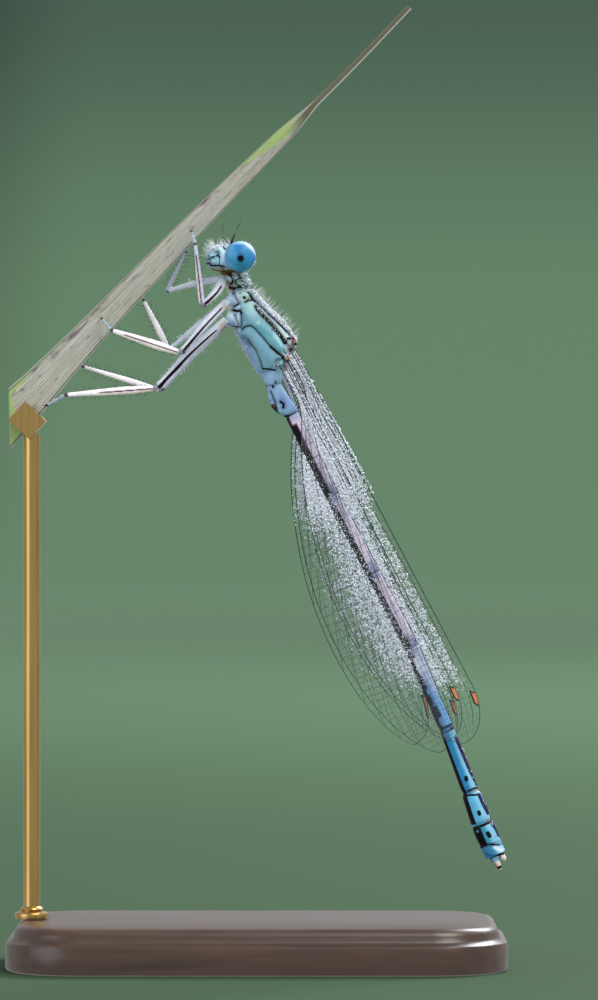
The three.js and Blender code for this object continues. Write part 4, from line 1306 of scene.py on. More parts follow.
# %% Claws
claws = []
for name, lines in LEG_LINES.items():
    line, tangent, broad, *_ = lines[2]
    inward = np.array([0, -SIDES[name.split("_")[1]], 0])
    for spread in (-1, 1):
        base = line[-1] - 0.03 * tangent[-1]
        middle = base + 0.12 * tangent[-1] + spread * 0.07 * broad[-1]
        point = base + 0.17 * tangent[-1] + spread * 0.09 * broad[-1] + 0.09 * inward
        hook = spline([base, middle, point], 10)
        ways = unit(np.gradient(hook, axis=0))
        across = unit(np.cross(ways, broad[-1] + 0.3 * inward))
        size = np.linspace(0.03, 0.006, 10)
        claws.append(tube(hook, across, np.cross(ways, across), size, size, size, 8))
finish_piece(make_piece("foot_claws", *gather(claws), horn), "leg")

# %% [markdown]
# ## The wings
# A wing is a clear film, about 0.005 mm thick, held taut by a net of veins. An image on a plane
# would vanish edge on. Here the film is a thin closed sheet, drawn at 0.012 mm, and one function
# says where any place on a wing lies.

# %% Wing outline and map
WING_PROFILE = [[0, 0.13], [0.12, 0.15], [0.2, 0.38], [0.28, 0.59], [0.37, 0.76], [0.46, 0.89],
                [0.55, 0.97], [0.65, 1], [0.75, 0.97], [0.82, 0.91], [0.88, 0.82], [0.93, 0.71],
                [0.965, 0.6], [0.985, 0.52], [1, 0.43]]
TIP_START, TIP_SHARE = 0.89, 0.4
WINGS = {  # hinge x and z, lean, length, greatest width, distance out from the middle plane
    "forewing_left": [1.89, 32.49, 27.8, 22.6, 4.3, 0.77],
    "forewing_right": [1.62, 32.23, 25.4, 22.5, 4.4, 0.77],
    "hindwing_left": [1.6, 31.58, 27.2, 21.4, 3.65, 1.34],
    "hindwing_right": [1.42, 31.52, 23, 21.1, 3.6, 1.34],
}
ROOT_OUT = {"forewing": 0.77, "hindwing": 1.24}


def wing_point(name, s, c, proud=0.0):
    """A place on a wing: s along it and c across it from the leading edge, both 0 to 1."""
    x, z, lean, length, width, out = WINGS[name]
    kind, label = name.split("_")
    side = SIDES[label]
    along, leading = leaning(lean)
    s, c = np.broadcast_arrays(np.asarray(s, float), np.asarray(c, float))
    trailing_edge = soft(WING_PROFILE, s.ravel()).reshape(s.shape)
    beyond = np.clip((s - TIP_START) / (1 - TIP_START), 0, 1)
    leading_edge = TIP_SHARE * (1 - np.sqrt(1 - beyond**2))
    chord = width * (leading_edge + c * (trailing_edge - leading_edge))
    spread = ramp(s, 0, 0.06)
    root_out = ROOT_OUT[kind]
    pleat = 0.03 * np.sin(c * 26) * ramp(s, 0.02, 0.15) * ramp(-s, -1, -0.8)
    y = side * (root_out + (out - root_out) * spread + proud) + pleat
    hinge = np.array([x, 0, z])
    level = hinge + (s * length)[..., None] * along - chord[..., None] * leading
    return level + y[..., None] * np.array([0, 1.0, 0])


print("left hindwing tip, mm:", wing_point("hindwing_left", 1, 0.5).round(2))

# %% [markdown]
# ## Long veins
# Long veins fan out from the hinge and end on the hind edge. The plan is the same in the whole
# family, so each is a short rule for how its distance from the leading edge grows along the wing.

# %% Where the long veins run
def long_veins():
    """Each long vein as rows of s and c. Neighbours in the list are neighbours on the wing."""
    t = np.sin(np.linspace(0, math.pi / 2, 60))  # closer together where the tip turns
    run = lambda s0, c0, s1, c1, bend: np.column_stack([s0 + (s1 - s0) * t, c0 + (c1 - c0) * t**bend])
    costa = np.column_stack([t, np.full(60, 0.004)])
    subcosta = np.column_stack(
        [0.36 * t, soft([[0, 0.22], [0.12, 0.24], [0.2, 0.1], [0.36, 0.02]], 0.36 * t)])
    radius = np.column_stack([0.975 * t, soft([[0, 0.42], [0.12, 0.42], [0.2, 0.2], [0.4, 0.1],
                                               [0.8, 0.085], [0.9, 0.12], [0.975, 0.2]], 0.975 * t)])
    return {
        "costa": costa,
        "subcosta": subcosta,
        "radius": radius,
        "sector_1": run(0.3, 0.17, 0.995, 0.42, 1.5),
        "between_1": run(0.56, 0.26, 0.99, 0.62, 1.2),
        "sector_2": run(0.42, 0.23, 0.975, 0.97, 2.2),
        "between_2": run(0.3, 0.3, 0.93, 0.985, 1.9),
        "sector_3": run(0.26, 0.34, 0.86, 0.985, 1.8),
        "median": run(0.17, 0.4, 0.76, 0.985, 1.75),
        "cubital": run(0.15, 0.62, 0.58, 0.985, 1.6),
        "margin": np.column_stack([t, np.full(60, 0.996)]),
    }


VEINS = long_veins()
VEIN_ORDER = ["costa", "radius", "sector_1", "between_1", "sector_2", "between_2", "sector_3",
              "median", "cubital", "margin"]
VEIN_SIZE = {"costa": 0.025, "subcosta": 0.014, "radius": 0.019, "margin": 0.02}
print("long veins on each wing:", len(VEINS))

# %% [markdown]
# ## Cross veins
# Short veins part the strips between the long ones into cells, closer towards the tip. A regular
# grid would look woven, so each is shifted a little by chance.

# %% Cross veins between neighbouring long veins
def across_at(vein, s):
    rows = VEINS[vein]
    reached = (s >= rows[0, 0]) & (s <= rows[-1, 0])
    return np.where(reached, np.interp(s, rows[:, 0], rows[:, 1]), np.nan)


def cross_veins(rng):
    """Short veins between neighbouring long veins, one cell apart and closer towards the tip."""
    ties, s = [], 0.16
    while s < 0.99:
        pitch = float(np.interp(s, [0.16, 0.5, 0.85, 1], [0.034, 0.024, 0.016, 0.013]))
        levels = [(float(across_at(v, s)), v) for v in VEIN_ORDER]
        levels = [(c, v) for c, v in levels if not math.isnan(c)]
        for (c0, upper), (c1, _) in zip(levels[:-1], levels[1:]):
            if c1 - c0 < 0.02 or (upper == "costa" and s < 0.36):
                continue
            parts = 2 if c1 - c0 > 0.16 and s > 0.3 else 1
            cuts = np.linspace(c0, c1, parts + 1)
            for a, b in zip(cuts[:-1], cuts[1:]):
                shift = 0 if upper == "costa" else rng.normal(0, 0.12) * pitch
                ties.append((s + shift, a, s + shift + rng.normal(0, 0.1) * pitch, b))
            if parts == 2:
                ties.append((s, cuts[1], min(s + pitch, 0.99), cuts[1]))
        s += pitch
    for s in (0.18, 0.26, 0.36):
        ties.append((s, 0.0, s, float(across_at("radius", s))))
    return ties


print("cross veins on one wing:", len(cross_veins(np.random.default_rng(20))))

# %% [markdown]
# ## The vein net
# Each vein is a closed tube that follows the wing's pleats and thins towards the tip. A frame of
# thicker veins holds the wing mark.

# %% Vein tubes
MARK_SLANT = -0.009
MARK_SPAN = {  # where each wing's mark starts and ends along it, and how far it reaches across
    "forewing_left": (0.908, 0.938, 0.06),
    "hindwing_left": (0.893, 0.925, 0.062),
    "forewing_right": (0.907, 0.938, 0.036),
    "hindwing_right": (0.9, 0.955, 0.032),
}
FINE_VEIN, TIE, MARK_FRAME, TIP_VEIN = 0.0115, 0.008, 0.064, 0.022


def vein_shapes(name, rng):
    low, high, deep = MARK_SPAN[name]
    far = 0.02 + deep
    rim = [(low, 0.02), (low + MARK_SLANT, far), (high + MARK_SLANT, far), (high, 0.02)]
    runs = [(VEINS[vein], VEIN_SIZE.get(vein, FINE_VEIN)) for vein in VEINS]
    runs += [(np.linspace(a, b, 6), MARK_FRAME) for a, b in zip(rim[:-1], rim[1:])]
    runs += [(np.linspace((1.0, 0.0), (1.0, 1.0), 6), TIP_VEIN)]
    runs += [(np.linspace((s0, c0), (s1, c1), 3), TIE) for s0, c0, s1, c1 in cross_veins(rng)]
    shapes = []
    across = np.array([0, 1.0, 0])
    for rows, size in runs:
        line = wing_point(name, rows[:, 0], rows[:, 1])
        thin = size * (1.35 - 0.65 * rows[:, 0])
        tangent = unit(np.gradient(line, axis=0))
        sides = 6 if size > 0.01 else 4
        shapes.append(tube(line, unit(np.cross(tangent, across)), across, thin, thin, thin, sides))
    return shapes


veins = mottled("wing_vein_dark_chitin", "#151d1f", "#33433d", 0.4,
                Roughness=0.45, IOR=1.56, Specular_IOR_Level=0.2)
print("thickest vein:", 2 * VEIN_SIZE["costa"], "mm across")

# %% [markdown]
# ## Film and wing marks
# The film is clear and turns milky near the root. Near each tip sits one coloured cell, the wing
# mark, a thick slanting pane. Both are closed sheets on the same map of the wing.

# %% Film and wing marks
FILM_COLUMNS, FILM_ROWS = 150, 22
FILM_HALF, MARK_HALF = 0.006, 0.022  # mm, half of the thickness


def wing_sheet(name, s, c, half):
    front, back = wing_point(name, s, c, half), wing_point(name, s, c, -half)
    return closed_sheet(front, back, name.endswith("left"))


def film_shape(name):
    """The film, and how far along the wing each of its points lies."""
    s, c = np.meshgrid(np.sin(np.linspace(0, math.pi / 2, FILM_COLUMNS)),
                       np.linspace(0, 1, FILM_ROWS), indexing="ij")
    return wing_sheet(name, s, c, FILM_HALF), np.tile(s.ravel(), 2)


def mark_shape(name):
    t, u = np.meshgrid(np.linspace(0, 1, 12), np.linspace(0, 1, 8), indexing="ij")
    low, high, deep = MARK_SPAN[name]
    s = low + (high - low) * t + MARK_SLANT * u
    return wing_sheet(name, s, 0.012 + deep * u, MARK_HALF)


print("film points along and across:", FILM_COLUMNS, FILM_ROWS)

# %% [markdown]
# ## Clear film
# Chitin this thin is clear with a grey bloom. Glass shading would need many bounces through close
# surfaces and gain nothing, so the film is plain alpha with a shallow ripple.

# %% Film material, and the wings put together
film, tree, shader = start_material("wing_film_clear_chitin", Roughness=0.3, IOR=1.4)
where = add(tree, "TexCoord").outputs["Object"]
haze = add(tree, "TexNoise", {"Vector": where, "Scale": 1 / (0.9 * MM), "Detail": 3.0})
hazed = add(tree, "Mix", {0: haze.outputs["Fac"], 6: colour("#b4bcc8"), 7: colour("#d6d8e6")},
            data_type="RGBA")
tree.links.new(hazed.outputs[2], shader.inputs["Base Color"])
milky = add(tree, "Attribute", attribute_name="milky")
tree.links.new(milky.outputs["Fac"], shader.inputs["Alpha"])
ripple = add(tree, "Bump", {"Strength": 0.4, "Distance": 0.02 * MM, "Height": haze.outputs["Fac"]})
tree.links.new(ripple.outputs["Normal"], shader.inputs["Normal"])
amber = mottled("wing_mark_amber_chitin", "#c9622c", "#e89a62", 0.25, Roughness=0.35, IOR=1.56)

for order, name in enumerate(WINGS):
    shape, share = film_shape(name)
    pane = make_piece(f"{name}_film", *shape, film)
    cloudy = ramp(-share, -0.22, -0.05) * ramp(share, 0.012, 0.04)
    write_attribute(pane.data, "milky", "FLOAT", 0.014 + 0.4 * cloudy)
    finish_piece(pane, "wing", name)
    net = gather(vein_shapes(name, np.random.default_rng(20 + order)))
    finish_piece(make_piece(f"{name}_veins", *net, veins), "wing")
    finish_piece(make_piece(f"{name}_mark", *mark_shape(name), amber), "wing")

# %% [markdown]
# ## Dew beads
# The whole animal is silvered with dew too fine to run. Particles would be lost on export, so each
# bead is a real ball of 20 triangles. A second UV map gives every bead a patch at its own place on
# the unrolled wing.

# %% Beads and their map
def icosahedron():
    g = (1 + 5**0.5) / 2
    corners = [[-1, g, 0], [1, g, 0], [-1, -g, 0], [1, -g, 0], [0, -1, g], [0, 1, g],
               [0, -1, -g], [0, 1, -g], [g, 0, -1], [g, 0, 1], [-g, 0, -1], [-g, 0, 1]]
    faces = [[0, 11, 5], [0, 5, 1], [0, 1, 7], [0, 7, 10], [0, 10, 11], [1, 5, 9], [5, 11, 4],
             [11, 10, 2], [10, 7, 6], [7, 1, 8], [3, 9, 4], [3, 4, 2], [3, 2, 6], [3, 6, 8],
             [3, 8, 9], [4, 9, 5], [2, 4, 11], [6, 2, 10], [8, 6, 7], [9, 8, 1]]
    return unit(np.array(corners, float)), np.array(faces)


BEAD_POINTS, BEAD_FACES = icosahedron()


def beads(centres, radii, squash, rng):
    """Many small beads as one list of points and triangles. squash is 3 factors on x, y and z."""
    n = len(centres)
    turn = rng.uniform(0, 2 * np.pi, n)
    c, s = np.cos(turn)[:, None], np.sin(turn)[:, None]
    x, y, z = BEAD_POINTS.T
    turned = np.stack([c * x - s * z, np.broadcast_to(y, (n, 12)), s * x + c * z], -1)
    points = centres[:, None] + turned * (radii[:, None, None] * np.asarray(squash))
    faces = BEAD_FACES[None] + 12 * np.arange(n)[:, None, None]
    return points.reshape(-1, 3), faces.reshape(-1, 3)


def bake_map(piece, roots, corners_each, shape):
    """The OFBake map: each tuft or bead is a patch about 0.003 across at its root's place."""
    layer = piece.data.uv_layers.new(name="OFBake")
    vertex = np.empty(len(piece.data.loops), dtype=np.int32)
    piece.data.loops.foreach_get("vertex_index", vertex)
    owner = vertex // corners_each
    patch = 0.0015 * shape[vertex % corners_each]
    layer.data.foreach_set("uv", (roots[owner] + patch).astype(np.float32).ravel())


print("one bead:", len(BEAD_POINTS), "points", len(BEAD_FACES), "triangles")

# %% [markdown]
# ## Where dew settles
# Dew lies thick on the open middle of a wing. It leaves strips along both edges and the tip, is
# sparse against the body, and is drawn off the raised veins. Random places are tried, and each is
# kept with the chance that these rules give it.

# %% Where dew settles on a wing
VEIN_SHADOW = 0.034  # mm kept free on both sides of a long vein


def shelter(at, s):
    """How far a place on a wing is covered by the abdomen, and how much dew that costs it."""
    level = at * [1, 0, 1]
    row, _ = follow(level, AB_POINTS)
    away = np.einsum("ij,ij->i", level - AB_POINTS[row], AB_UPS[row])
    covered = ramp(AB_WIDTH[row] - np.abs(away), -0.04, 0.04) * (s < 0.9)
    return covered, covered * np.where((away > -0.02) | (at[:, 2] > 24.6), 0.96, 0.6)


def dew_places(name, count, rng):
    """Random places on a wing, s and c, and how far each is sheltered by the body."""
    s = rng.uniform(0.005, 0.97, 12 * count)
    c = rng.uniform(-0.05, 1.0, 12 * count)
    base = ramp(-s, -0.44, -0.3)
    thick = soft(WING_PROFILE, s) * (1 + 3.2 * base)
    thick *= 1 + 0.9 * ramp(-c, -0.55, -0.4)
    clear_front = ramp(c, 0.06, 0.12) + np.where(c < 0, ramp(-s, -0.42, -0.22), base)
    clear_back = ramp(-c, -0.82, -0.72) + base
    clear_tip = ramp(-(s + 0.1 * c), -0.93, -0.84) * ramp(s, 0.01, 0.03)
    chance = thick * np.clip(clear_front, 0, 1) * np.clip(clear_back, 0, 1) * clear_tip
    sheltered, spared = shelter(wing_point(name, s, c), s)
    wide = WINGS[name][4] * soft(WING_PROFILE, s)
    for vein in VEINS:
        on_vein = np.abs(c - across_at(vein, s)) * wide < VEIN_SHADOW
        spared = np.where(on_vein, np.maximum(spared, 0.9 * (s < 0.34)), spared)
    chosen = np.flatnonzero(rng.uniform(0, 1, len(s)) < 0.3 * chance * (1 - spared))[:count]
    return s[chosen], c[chosen], sheltered[chosen]


print("three dew places:", dew_places("forewing_left", 3, np.random.default_rng(1))[0].round(2))

# %% [markdown]
# ## Dew on the wings
# Water has an IOR of 1.33 and hardly any roughness. Beads this small mirror the sky, so they are
# drawn nearly solid and silver, under a clear coat that gives each its glint.

# %% Dew on the wings
dew = mottled("dew_bead_water", "#c6d8ee", "#ffffff", 0.08, Roughness=0.05, IOR=1.33,
              Transmission_Weight=0.12, Coat_Weight=1.0, Coat_Roughness=0.03)
BEAD_PATCH = BEAD_POINTS[:, [0, 2]]
DEW_COUNT = {"forewing_left": 8600, "hindwing_left": 7800,
             "forewing_right": 2800, "hindwing_right": 2400}
for order, (name, count) in enumerate(DEW_COUNT.items()):
    rng = np.random.default_rng(40 + order)
    s, c, sheltered = dew_places(name, count, rng)
    radii = np.clip(rng.lognormal(math.log(0.034), 0.34, len(s)), 0.015, 0.075)
    radii *= 1 - 0.45 * sheltered
    front_or_back = rng.choice([-1, 1], len(s))
    centres = wing_point(name, s, c)
    centres[:, 1] += front_or_back * (0.008 + 0.35 * radii)
    piece = make_piece(f"{name}_dew", *beads(centres, radii, (1.0, 0.62, 1.0), rng), dew)
    bake_map(piece, np.column_stack([0.02 + 0.96 * s, 0.06 + 0.92 * c]), 12, BEAD_PATCH)
    finish_piece(piece, "wing")

# %% [markdown]
# ## Hairs and spines
# Particle hair would be lost on export, so each hair is a three-sided needle rooted in the skin. A
# real one is a few thousandths of a millimetre thick. These are drawn at about 0.02 mm, so that
# they show.

# %% Needles from roots and directions
def needles(roots, ways, lengths, thickness, bend, rng):
    """Tapering three-sided needles that curve towards `bend`."""
    n = len(roots)
    ways = unit(ways)
    side = unit(np.cross(ways, rng.normal(size=(n, 3))))
    other = np.cross(ways, side)
    rows = []
    for t, size in ((0.0, 1.0), (0.5, 0.75), (1.0, 0.12)):
        middle = roots + ways * (lengths * t)[:, None] + np.asarray(bend) * (lengths * t * t)[:, None]
        for k in range(3):
            a = 2 * math.pi * k / 3
            rows.append(middle + (side * math.cos(a) + other * math.sin(a)) * (thickness * size)[:, None])
    points = np.stack(rows, 1)
    faces = [[0, 2, 1], [6, 7, 8]]
    for low in (0, 3):
        for k in range(3):
            m = (k + 1) % 3
            faces += [[low + k, low + m, low + 3 + m], [low + k, low + 3 + m, low + 3 + k]]
    faces = np.array(faces)[None] + 9 * np.arange(n)[:, None, None]
    return points.reshape(-1, 3), faces.reshape(-1, 3)


def skin_places(where, count, rng, weight=None):
    index = np.flatnonzero(where)
    chance = None if weight is None else weight[index] / weight[index].sum()
    return rng.choice(index, min(count, len(index)), replace=False, p=chance)


def body_map(points):
    """Each root's place on the body unrolled like a tube: round it across, down it along."""
    along = (38.5 - points[:, 2]) / 36
    middle = 1.0 + (30 - points[:, 2]) * 0.5
    round_it = np.arctan2(points[:, 1], points[:, 0] - middle) / (2 * math.pi)
    return np.column_stack([0.5 + 0.9 * round_it, np.clip(along, 0.01, 0.99)])


NEEDLE_MAP = np.array([[0.2, 0], [-0.2, 0.2], [-0.2, -0.2]] * 3)
print("one needle:", len(NEEDLE_MAP), "points")

# %% [markdown]
# ## Where hair and dew sit on the body
# Both gather on brow, nape, back and belly. Each place is a part of the skin, with a weight for how
# likely each point is to carry a root.

# %% Places on the body
brow = on_head & (face_f > 0.25) & (face_u > -0.05) & (skin_normals @ FORWARD > -0.2)
brow_weight = ramp(face_u, -0.1, 0.45) * ramp(face_f, 0.2, 0.7) + 0.02
nape = on_neck & (flank[:, 0] > -0.95)
dorsum = on_thorax & (past_line > 0.04) & (thorax_place < 3.8)
dorsum_weight = ramp(past_line, 0.0, 0.12) + 0.05
belly = on_thorax & (skin_normals @ BACK_OF_THORAX < -0.6) & (thorax_place > 1.8)
crest = dorsum & (np.abs(skin_points[:, 1]) < 0.5)
print("brow, nape, dorsum, belly:", [int(part.sum()) for part in (brow, nape, dorsum, belly)])

# %% [markdown]
# ## White hair
# The hair of head and back is long and leans outward, the thighs carry a thin fringe, and the hind
# rim of each eye a row of short ones. Air in the chitin makes it white and half glossy.

# %% White hair on the body
white_seta = mottled("white_seta_chitin", "#c9d0d2", "#f4f6f6", 0.3, Roughness=0.4, IOR=1.55)
rng = np.random.default_rng(61)
patches = [  # where, how many, weight, length, spread, and the lean of the hair
    (brow, 120, brow_weight, 0.4, 0.45, 0.8 * FORWARD + 0.5 * UP),
    (nape, 34, None, 0.26, 0.5, 0.5 * BACK_OF_THORAX + 0.3 * UP),
    (crest, 120, dorsum_weight, 0.42, 0.2, 1.3 * BACK_OF_THORAX + 0.35 * UP),
    (belly, 45, None, 0.26, 0.5, -0.5 * BACK_OF_THORAX),
]
FRINGE = 34  # hairs on a thigh, and on the rim of an eye
hairs, roots = [], []


def plant(at, ways, lengths, thickness, bend=np.zeros(3)):
    hairs.append(needles(at, ways, lengths, np.full(len(at), thickness), bend, rng))
    roots.append(at)


for where, count, weight, length, scatter, lean in patches:
    index = skin_places(where, count, rng, weight)
    ways = skin_normals[index] + lean + rng.normal(0, scatter, (len(index), 3))
    lengths = length * rng.uniform(0.5, 1.35, len(index))
    plant(pressed[index] - 0.03 * skin_normals[index], ways, lengths, 0.013, 0.12 * UP)
for line, tangent, broad, breadth, _ in (lines[0] for lines in LEG_LINES.values()):
    row = (rng.uniform(0.15, 0.9, FRINGE) * 47).astype(int)
    edge = np.where(rng.uniform(size=FRINGE) < 0.7, 1, -1)[:, None] * np.sign(broad[row, 2:])
    out = edge * broad[row]
    ways = out + rng.normal(0, 0.3, (FRINGE, 3)) + 0.4 * tangent[row]
    at = line[row] + out * (0.9 * breadth[row])[:, None]
    plant(at, ways, rng.uniform(0.14, 0.28, FRINGE), 0.011)
for side in (LEFT, RIGHT):
    turn = rng.uniform(-0.7, 1.5, FRINGE)
    way = -np.cos(turn)[:, None] * FORWARD + np.sin(turn)[:, None] * UP
    at = head_point(0, -side * EYE_OUT, 0) + 0.77 * way
    ways = way + rng.normal(0, 0.2, (FRINGE, 3))
    plant(at, ways, rng.uniform(0.08, 0.2, FRINGE), 0.008)
down = make_piece("white_hair", *gather(hairs), white_seta)
bake_map(down, body_map(np.vstack(roots)), 9, NEEDLE_MAP)
finish_piece(down, "thorax")

# %% [markdown]
# ## Dew on the body
# Here the beads sit singly among the hairs, and larger ones hang on the rim of each eye. They are
# sunk a little into the skin, so that none floats.

# %% Dew on the body
patches = [  # where, how many, weight, typical radius
    (brow, 150, brow_weight, 0.022),
    (nape, 90, None, 0.028),
    (dorsum, 900, dorsum_weight, 0.03),
    (on_thorax & (stroke(flank, STRIPE, 0.16) > 0), 90, None, 0.017),
    (on_thorax & (stroke(flank, UPPER_LINE, 0.14) > 0), 60, None, 0.018),
    (belly, 16, None, 0.034),
    (on_abdomen & (ring_of >= 6) & (height > 0.6), 60, None, 0.024),
]
LARGE, SMALL = 20, 8  # beads on the rim of each eye
drops, roots = [], []
for where, count, weight, size in patches:
    index = skin_places(where, count, rng, weight)
    radii = np.clip(rng.lognormal(math.log(size), 0.35, len(index)), 0.014, 0.09)
    at = pressed[index] + skin_normals[index] * (0.5 * radii)[:, None]
    drops.append(beads(at, radii, (1, 1, 1), rng))
    roots.append(at)
for side in (LEFT, RIGHT):
    turn = np.append(rng.uniform(-1.05, -0.25, LARGE), rng.uniform(-0.2, 1.2, SMALL))
    way = -np.cos(turn)[:, None] * FORWARD + np.sin(turn)[:, None] * UP
    at = head_point(0, -side * EYE_OUT, 0) + 0.81 * way + rng.normal(0, 0.02, (len(way), 3))
    radii = np.append(rng.uniform(0.024, 0.042, LARGE), rng.uniform(0.016, 0.03, SMALL))
    drops.append(beads(at, radii, (1, 1, 1), rng))
    roots.append(at)
body_dew = make_piece("body_dew", *gather(drops), dew)
bake_map(body_dew, body_map(np.vstack(roots)), 12, BEAD_PATCH)
finish_piece(body_dew, "thorax")

# %% [markdown]
# ## Spines on the legs
# Both edges of every shin carry a comb of stiff black spines, which hold the prey. They are spaced
# evenly, with a little chance in place and direction.

# %% Dark spines on the legs
black_seta = mottled("black_seta_chitin", "#1c1a1e", "#4a4448", 0.3, Roughness=0.45, IOR=1.55)
SPINE_PITCH = 0.24
spines, roots = [], []
for name, lines in LEG_LINES.items():
    line, tangent, broad, breadth, _ = lines[1]
    length = np.linalg.norm(np.diff(line, axis=0), axis=1).sum()
    shorter = 1.0 if name.endswith("right") else 0.6
    for edge_side in (-1, 1):
        place = np.arange(0.12, 0.95, SPINE_PITCH / length)
        place = place + rng.normal(0, 0.03 / length, len(place))
        row = np.clip(place * 47, 0, 47).astype(int)
        inward = np.cross(broad[row], tangent[row])
        out = unit(edge_side * broad[row] + rng.normal(0, 0.35, (len(row), 1)) * inward)
        at = line[row] + out * (0.85 * breadth[row])[:, None]
        ways = out + 0.75 * tangent[row] + rng.normal(0, 0.07, (len(row), 3))
        reach = rng.uniform(0.36, 0.58, len(row)) * shorter
        spines.append(needles(at, ways, reach, np.full(len(row), 0.016), np.zeros(3), rng))
        roots.append(at)
spikes = make_piece("leg_spines", *gather(spines), black_seta)
bake_map(spikes, body_map(np.vstack(roots)), 9, NEEDLE_MAP)
finish_piece(spikes, "leg")

# %% [markdown]
# ## The blade of grass
# A dead leaf has fine ribs, a sunken midrib and two sharp edges. Past the twist it folds and stands
# edge on. A thick plane would bend like card, so every row of a closed sheet is turned, folded and
# narrowed by rule.

# %% Blade of grass
BLADE_MIDRIB = [[-12.98, 28.6], [-9.44, 32.4], [-5.4, 36.62], [-1.37, 40.74], [2.04, 44.1],
                [5.2, 47.24], [8, 50.16]]
BLADE_WIDTHS = [[0, 2.26], [0.07, 2.02], [0.2, 1.57], [0.38, 1.31], [0.55, 1.07], [0.7, 0.83],
                [1, 0.56]]
TWIST = {"degrees": 68, "start": 0.66, "end": 0.78}
BLADE_THICK = 0.16
RIBS = 15


def blade_shape(rows=260, columns=61):
    """The leaf, and each point's place across it (-1 to 1) and along it (0 to 1)."""
    midrib = spline([[x, 0, z] for x, z in BLADE_MIDRIB], rows)
    along = unit(np.gradient(midrib, axis=0))
    share = np.linspace(0, 1, rows)
    turned = np.radians(TWIST["degrees"]) * ramp(share, TWIST["start"], TWIST["end"])
    flat = np.column_stack([-along[:, 2], np.zeros(rows), along[:, 0]])
    across = flat * np.cos(turned)[:, None] + np.array([0, 1.0, 0]) * np.sin(turned)[:, None]
    normal = np.cross(across, along)
    half = soft(BLADE_WIDTHS, share) / 2
    v = np.linspace(-1, 1, columns)
    ribs = 0.012 * np.cos(v * RIBS * math.pi)
    keel = 0.05 * (1 - np.abs(v)) ** 2
    fold = (0.05 * ramp(share, 0.6, 0.8))[:, None] * (1 - np.abs(v))[None]
    edge_thin = np.sqrt(np.clip(1 - np.abs(v) ** 6, 0.0, 1))
    reach = half[:, None] * v[None]
    # The foot is cut off upright, so its rows slide along the leaf to reach the cutting plane.
    slide = ramp(-share, -0.09, 0.0)[:, None] * reach * 1.02
    layers = []
    for face_sign in (1, -1):
        lift = face_sign * (BLADE_THICK / 2) * edge_thin + ribs * face_sign * 0.5 - keel
        lift = lift[None] - fold
        layers.append(midrib[:, None] + across[:, None] * reach[..., None]
                      + normal[:, None] * lift[..., None] + along[:, None] * slide[..., None])
    leaf_across = np.tile(np.tile(v, rows), 2)
    leaf_along = np.tile(np.repeat(share, columns), 2)
    return closed_sheet(*layers, True), leaf_across, leaf_along


blade_mesh, leaf_across, leaf_along = blade_shape()
print("blade of grass:", len(blade_mesh[0]), "points")

# %% [markdown]
# ## Dry leaf
# The leaf is grey and straw-coloured fibre, with shade painted into its furrows, rusty blots and
# brown edges, all running along it. Plain noise would look like stone, so it is stretched, and each
# coat lies over the last.

# %% Dry leaf material
grass, tree, shader = start_material("dry_grass_leaf", Roughness=0.62, IOR=1.45, Sheen_Weight=0.1)
span = add(tree, "Attribute", attribute_name="leaf_across").outputs["Fac"]
down_leaf = add(tree, "Attribute", attribute_name="leaf_along").outputs["Fac"]
green_at = add(tree, "Attribute", attribute_name="leaf_green").outputs["Fac"]
fibre_at = add(tree, "CombineXYZ", {"X": span, "Y": down_leaf}).outputs[0]


def drawn_out(across, along, detail):
    """Noise stretched along the leaf, finer across it than down it."""
    drawn = add(tree, "VectorMath", {0: fibre_at, 1: (across, along, 1.0)}, operation="MULTIPLY")
    noise = add(tree, "TexNoise", {"Vector": drawn.outputs[0], "Scale": 1.0, "Detail": detail})
    return noise.outputs["Fac"]


fibre = add(tree, "MapRange", {"Value": drawn_out(26.0, 9.0, 5.0), "From Min": 0.35,
                               "From Max": 0.65}).outputs["Result"]
blush = add(tree, "MapRange", {"Value": drawn_out(2.2, 17.0, 5.0), "From Min": 0.52,
                               "From Max": 0.62}).outputs["Result"]
folded = add(tree, "MapRange", {"Value": down_leaf, "From Min": 0.69,
                                "From Max": 0.74}).outputs["Result"]
rib_turn = add(tree, "Math", {0: span, 1: RIBS * math.pi}, operation="MULTIPLY").outputs[0]
rib_wave = add(tree, "Math", {0: rib_turn}, operation="COSINE").outputs[0]
from_midrib = add(tree, "Math", {0: span}, operation="ABSOLUTE").outputs[0]
green_edge = add(tree, "Math", {0: drawn_out(20.0, 14.0, 3.0), 1: 0.5, 2: green_at},
                 operation="MULTIPLY_ADD").outputs[0]
LEAF_LAYERS = [  # colour, what drives it, where it starts and is full, how strong
    ("#a8ab7c", drawn_out(16.0, 6.0, 3.0), 0.52, 0.7, 0.7),
    ("#ddd9dc", drawn_out(5.0, 14.0, 4.0), 0.55, 0.75, 0.6),
    # painted shade: darker in the furrows between the ribs
    ("#6d6b58", rib_wave, 0.1, -1.0, 0.45),
    ("#6d5a6b", span, 0.2, 0.75, blush),
    ("#7a6350", drawn_out(4.0, 34.0, 5.0), 0.6, 0.7, 0.8),
    ("#55544a", drawn_out(9.0, 60.0, 2.0), 0.68, 0.72, 0.8),
    ("#a0b872", green_edge, 0.62, 0.78, 1.0),
    ("#9c93a3", down_leaf, 0.69, 0.74, 0.55),
    ("#5b5b3a", span, 0.12, -0.12, folded),
    ("#5d5650", from_midrib, 0.84, 0.9, 0.75),
    ("#b9c4ba", from_midrib, 0.93, 0.97, 0.8),
]
leaf = add(tree, "Mix", {0: fibre, 6: colour("#989a8c"), 7: colour("#d2d3c8")}, data_type="RGBA")
for swatch, driver, start, full, strength in LEAF_LAYERS:
    mask = add(tree, "MapRange", {"Value": driver, "From Min": start, "From Max": full,
                                  "To Max": strength})
    leaf = add(tree, "Mix", {0: mask.outputs["Result"], 6: leaf.outputs[2], 7: colour(swatch)},
               data_type="RGBA")
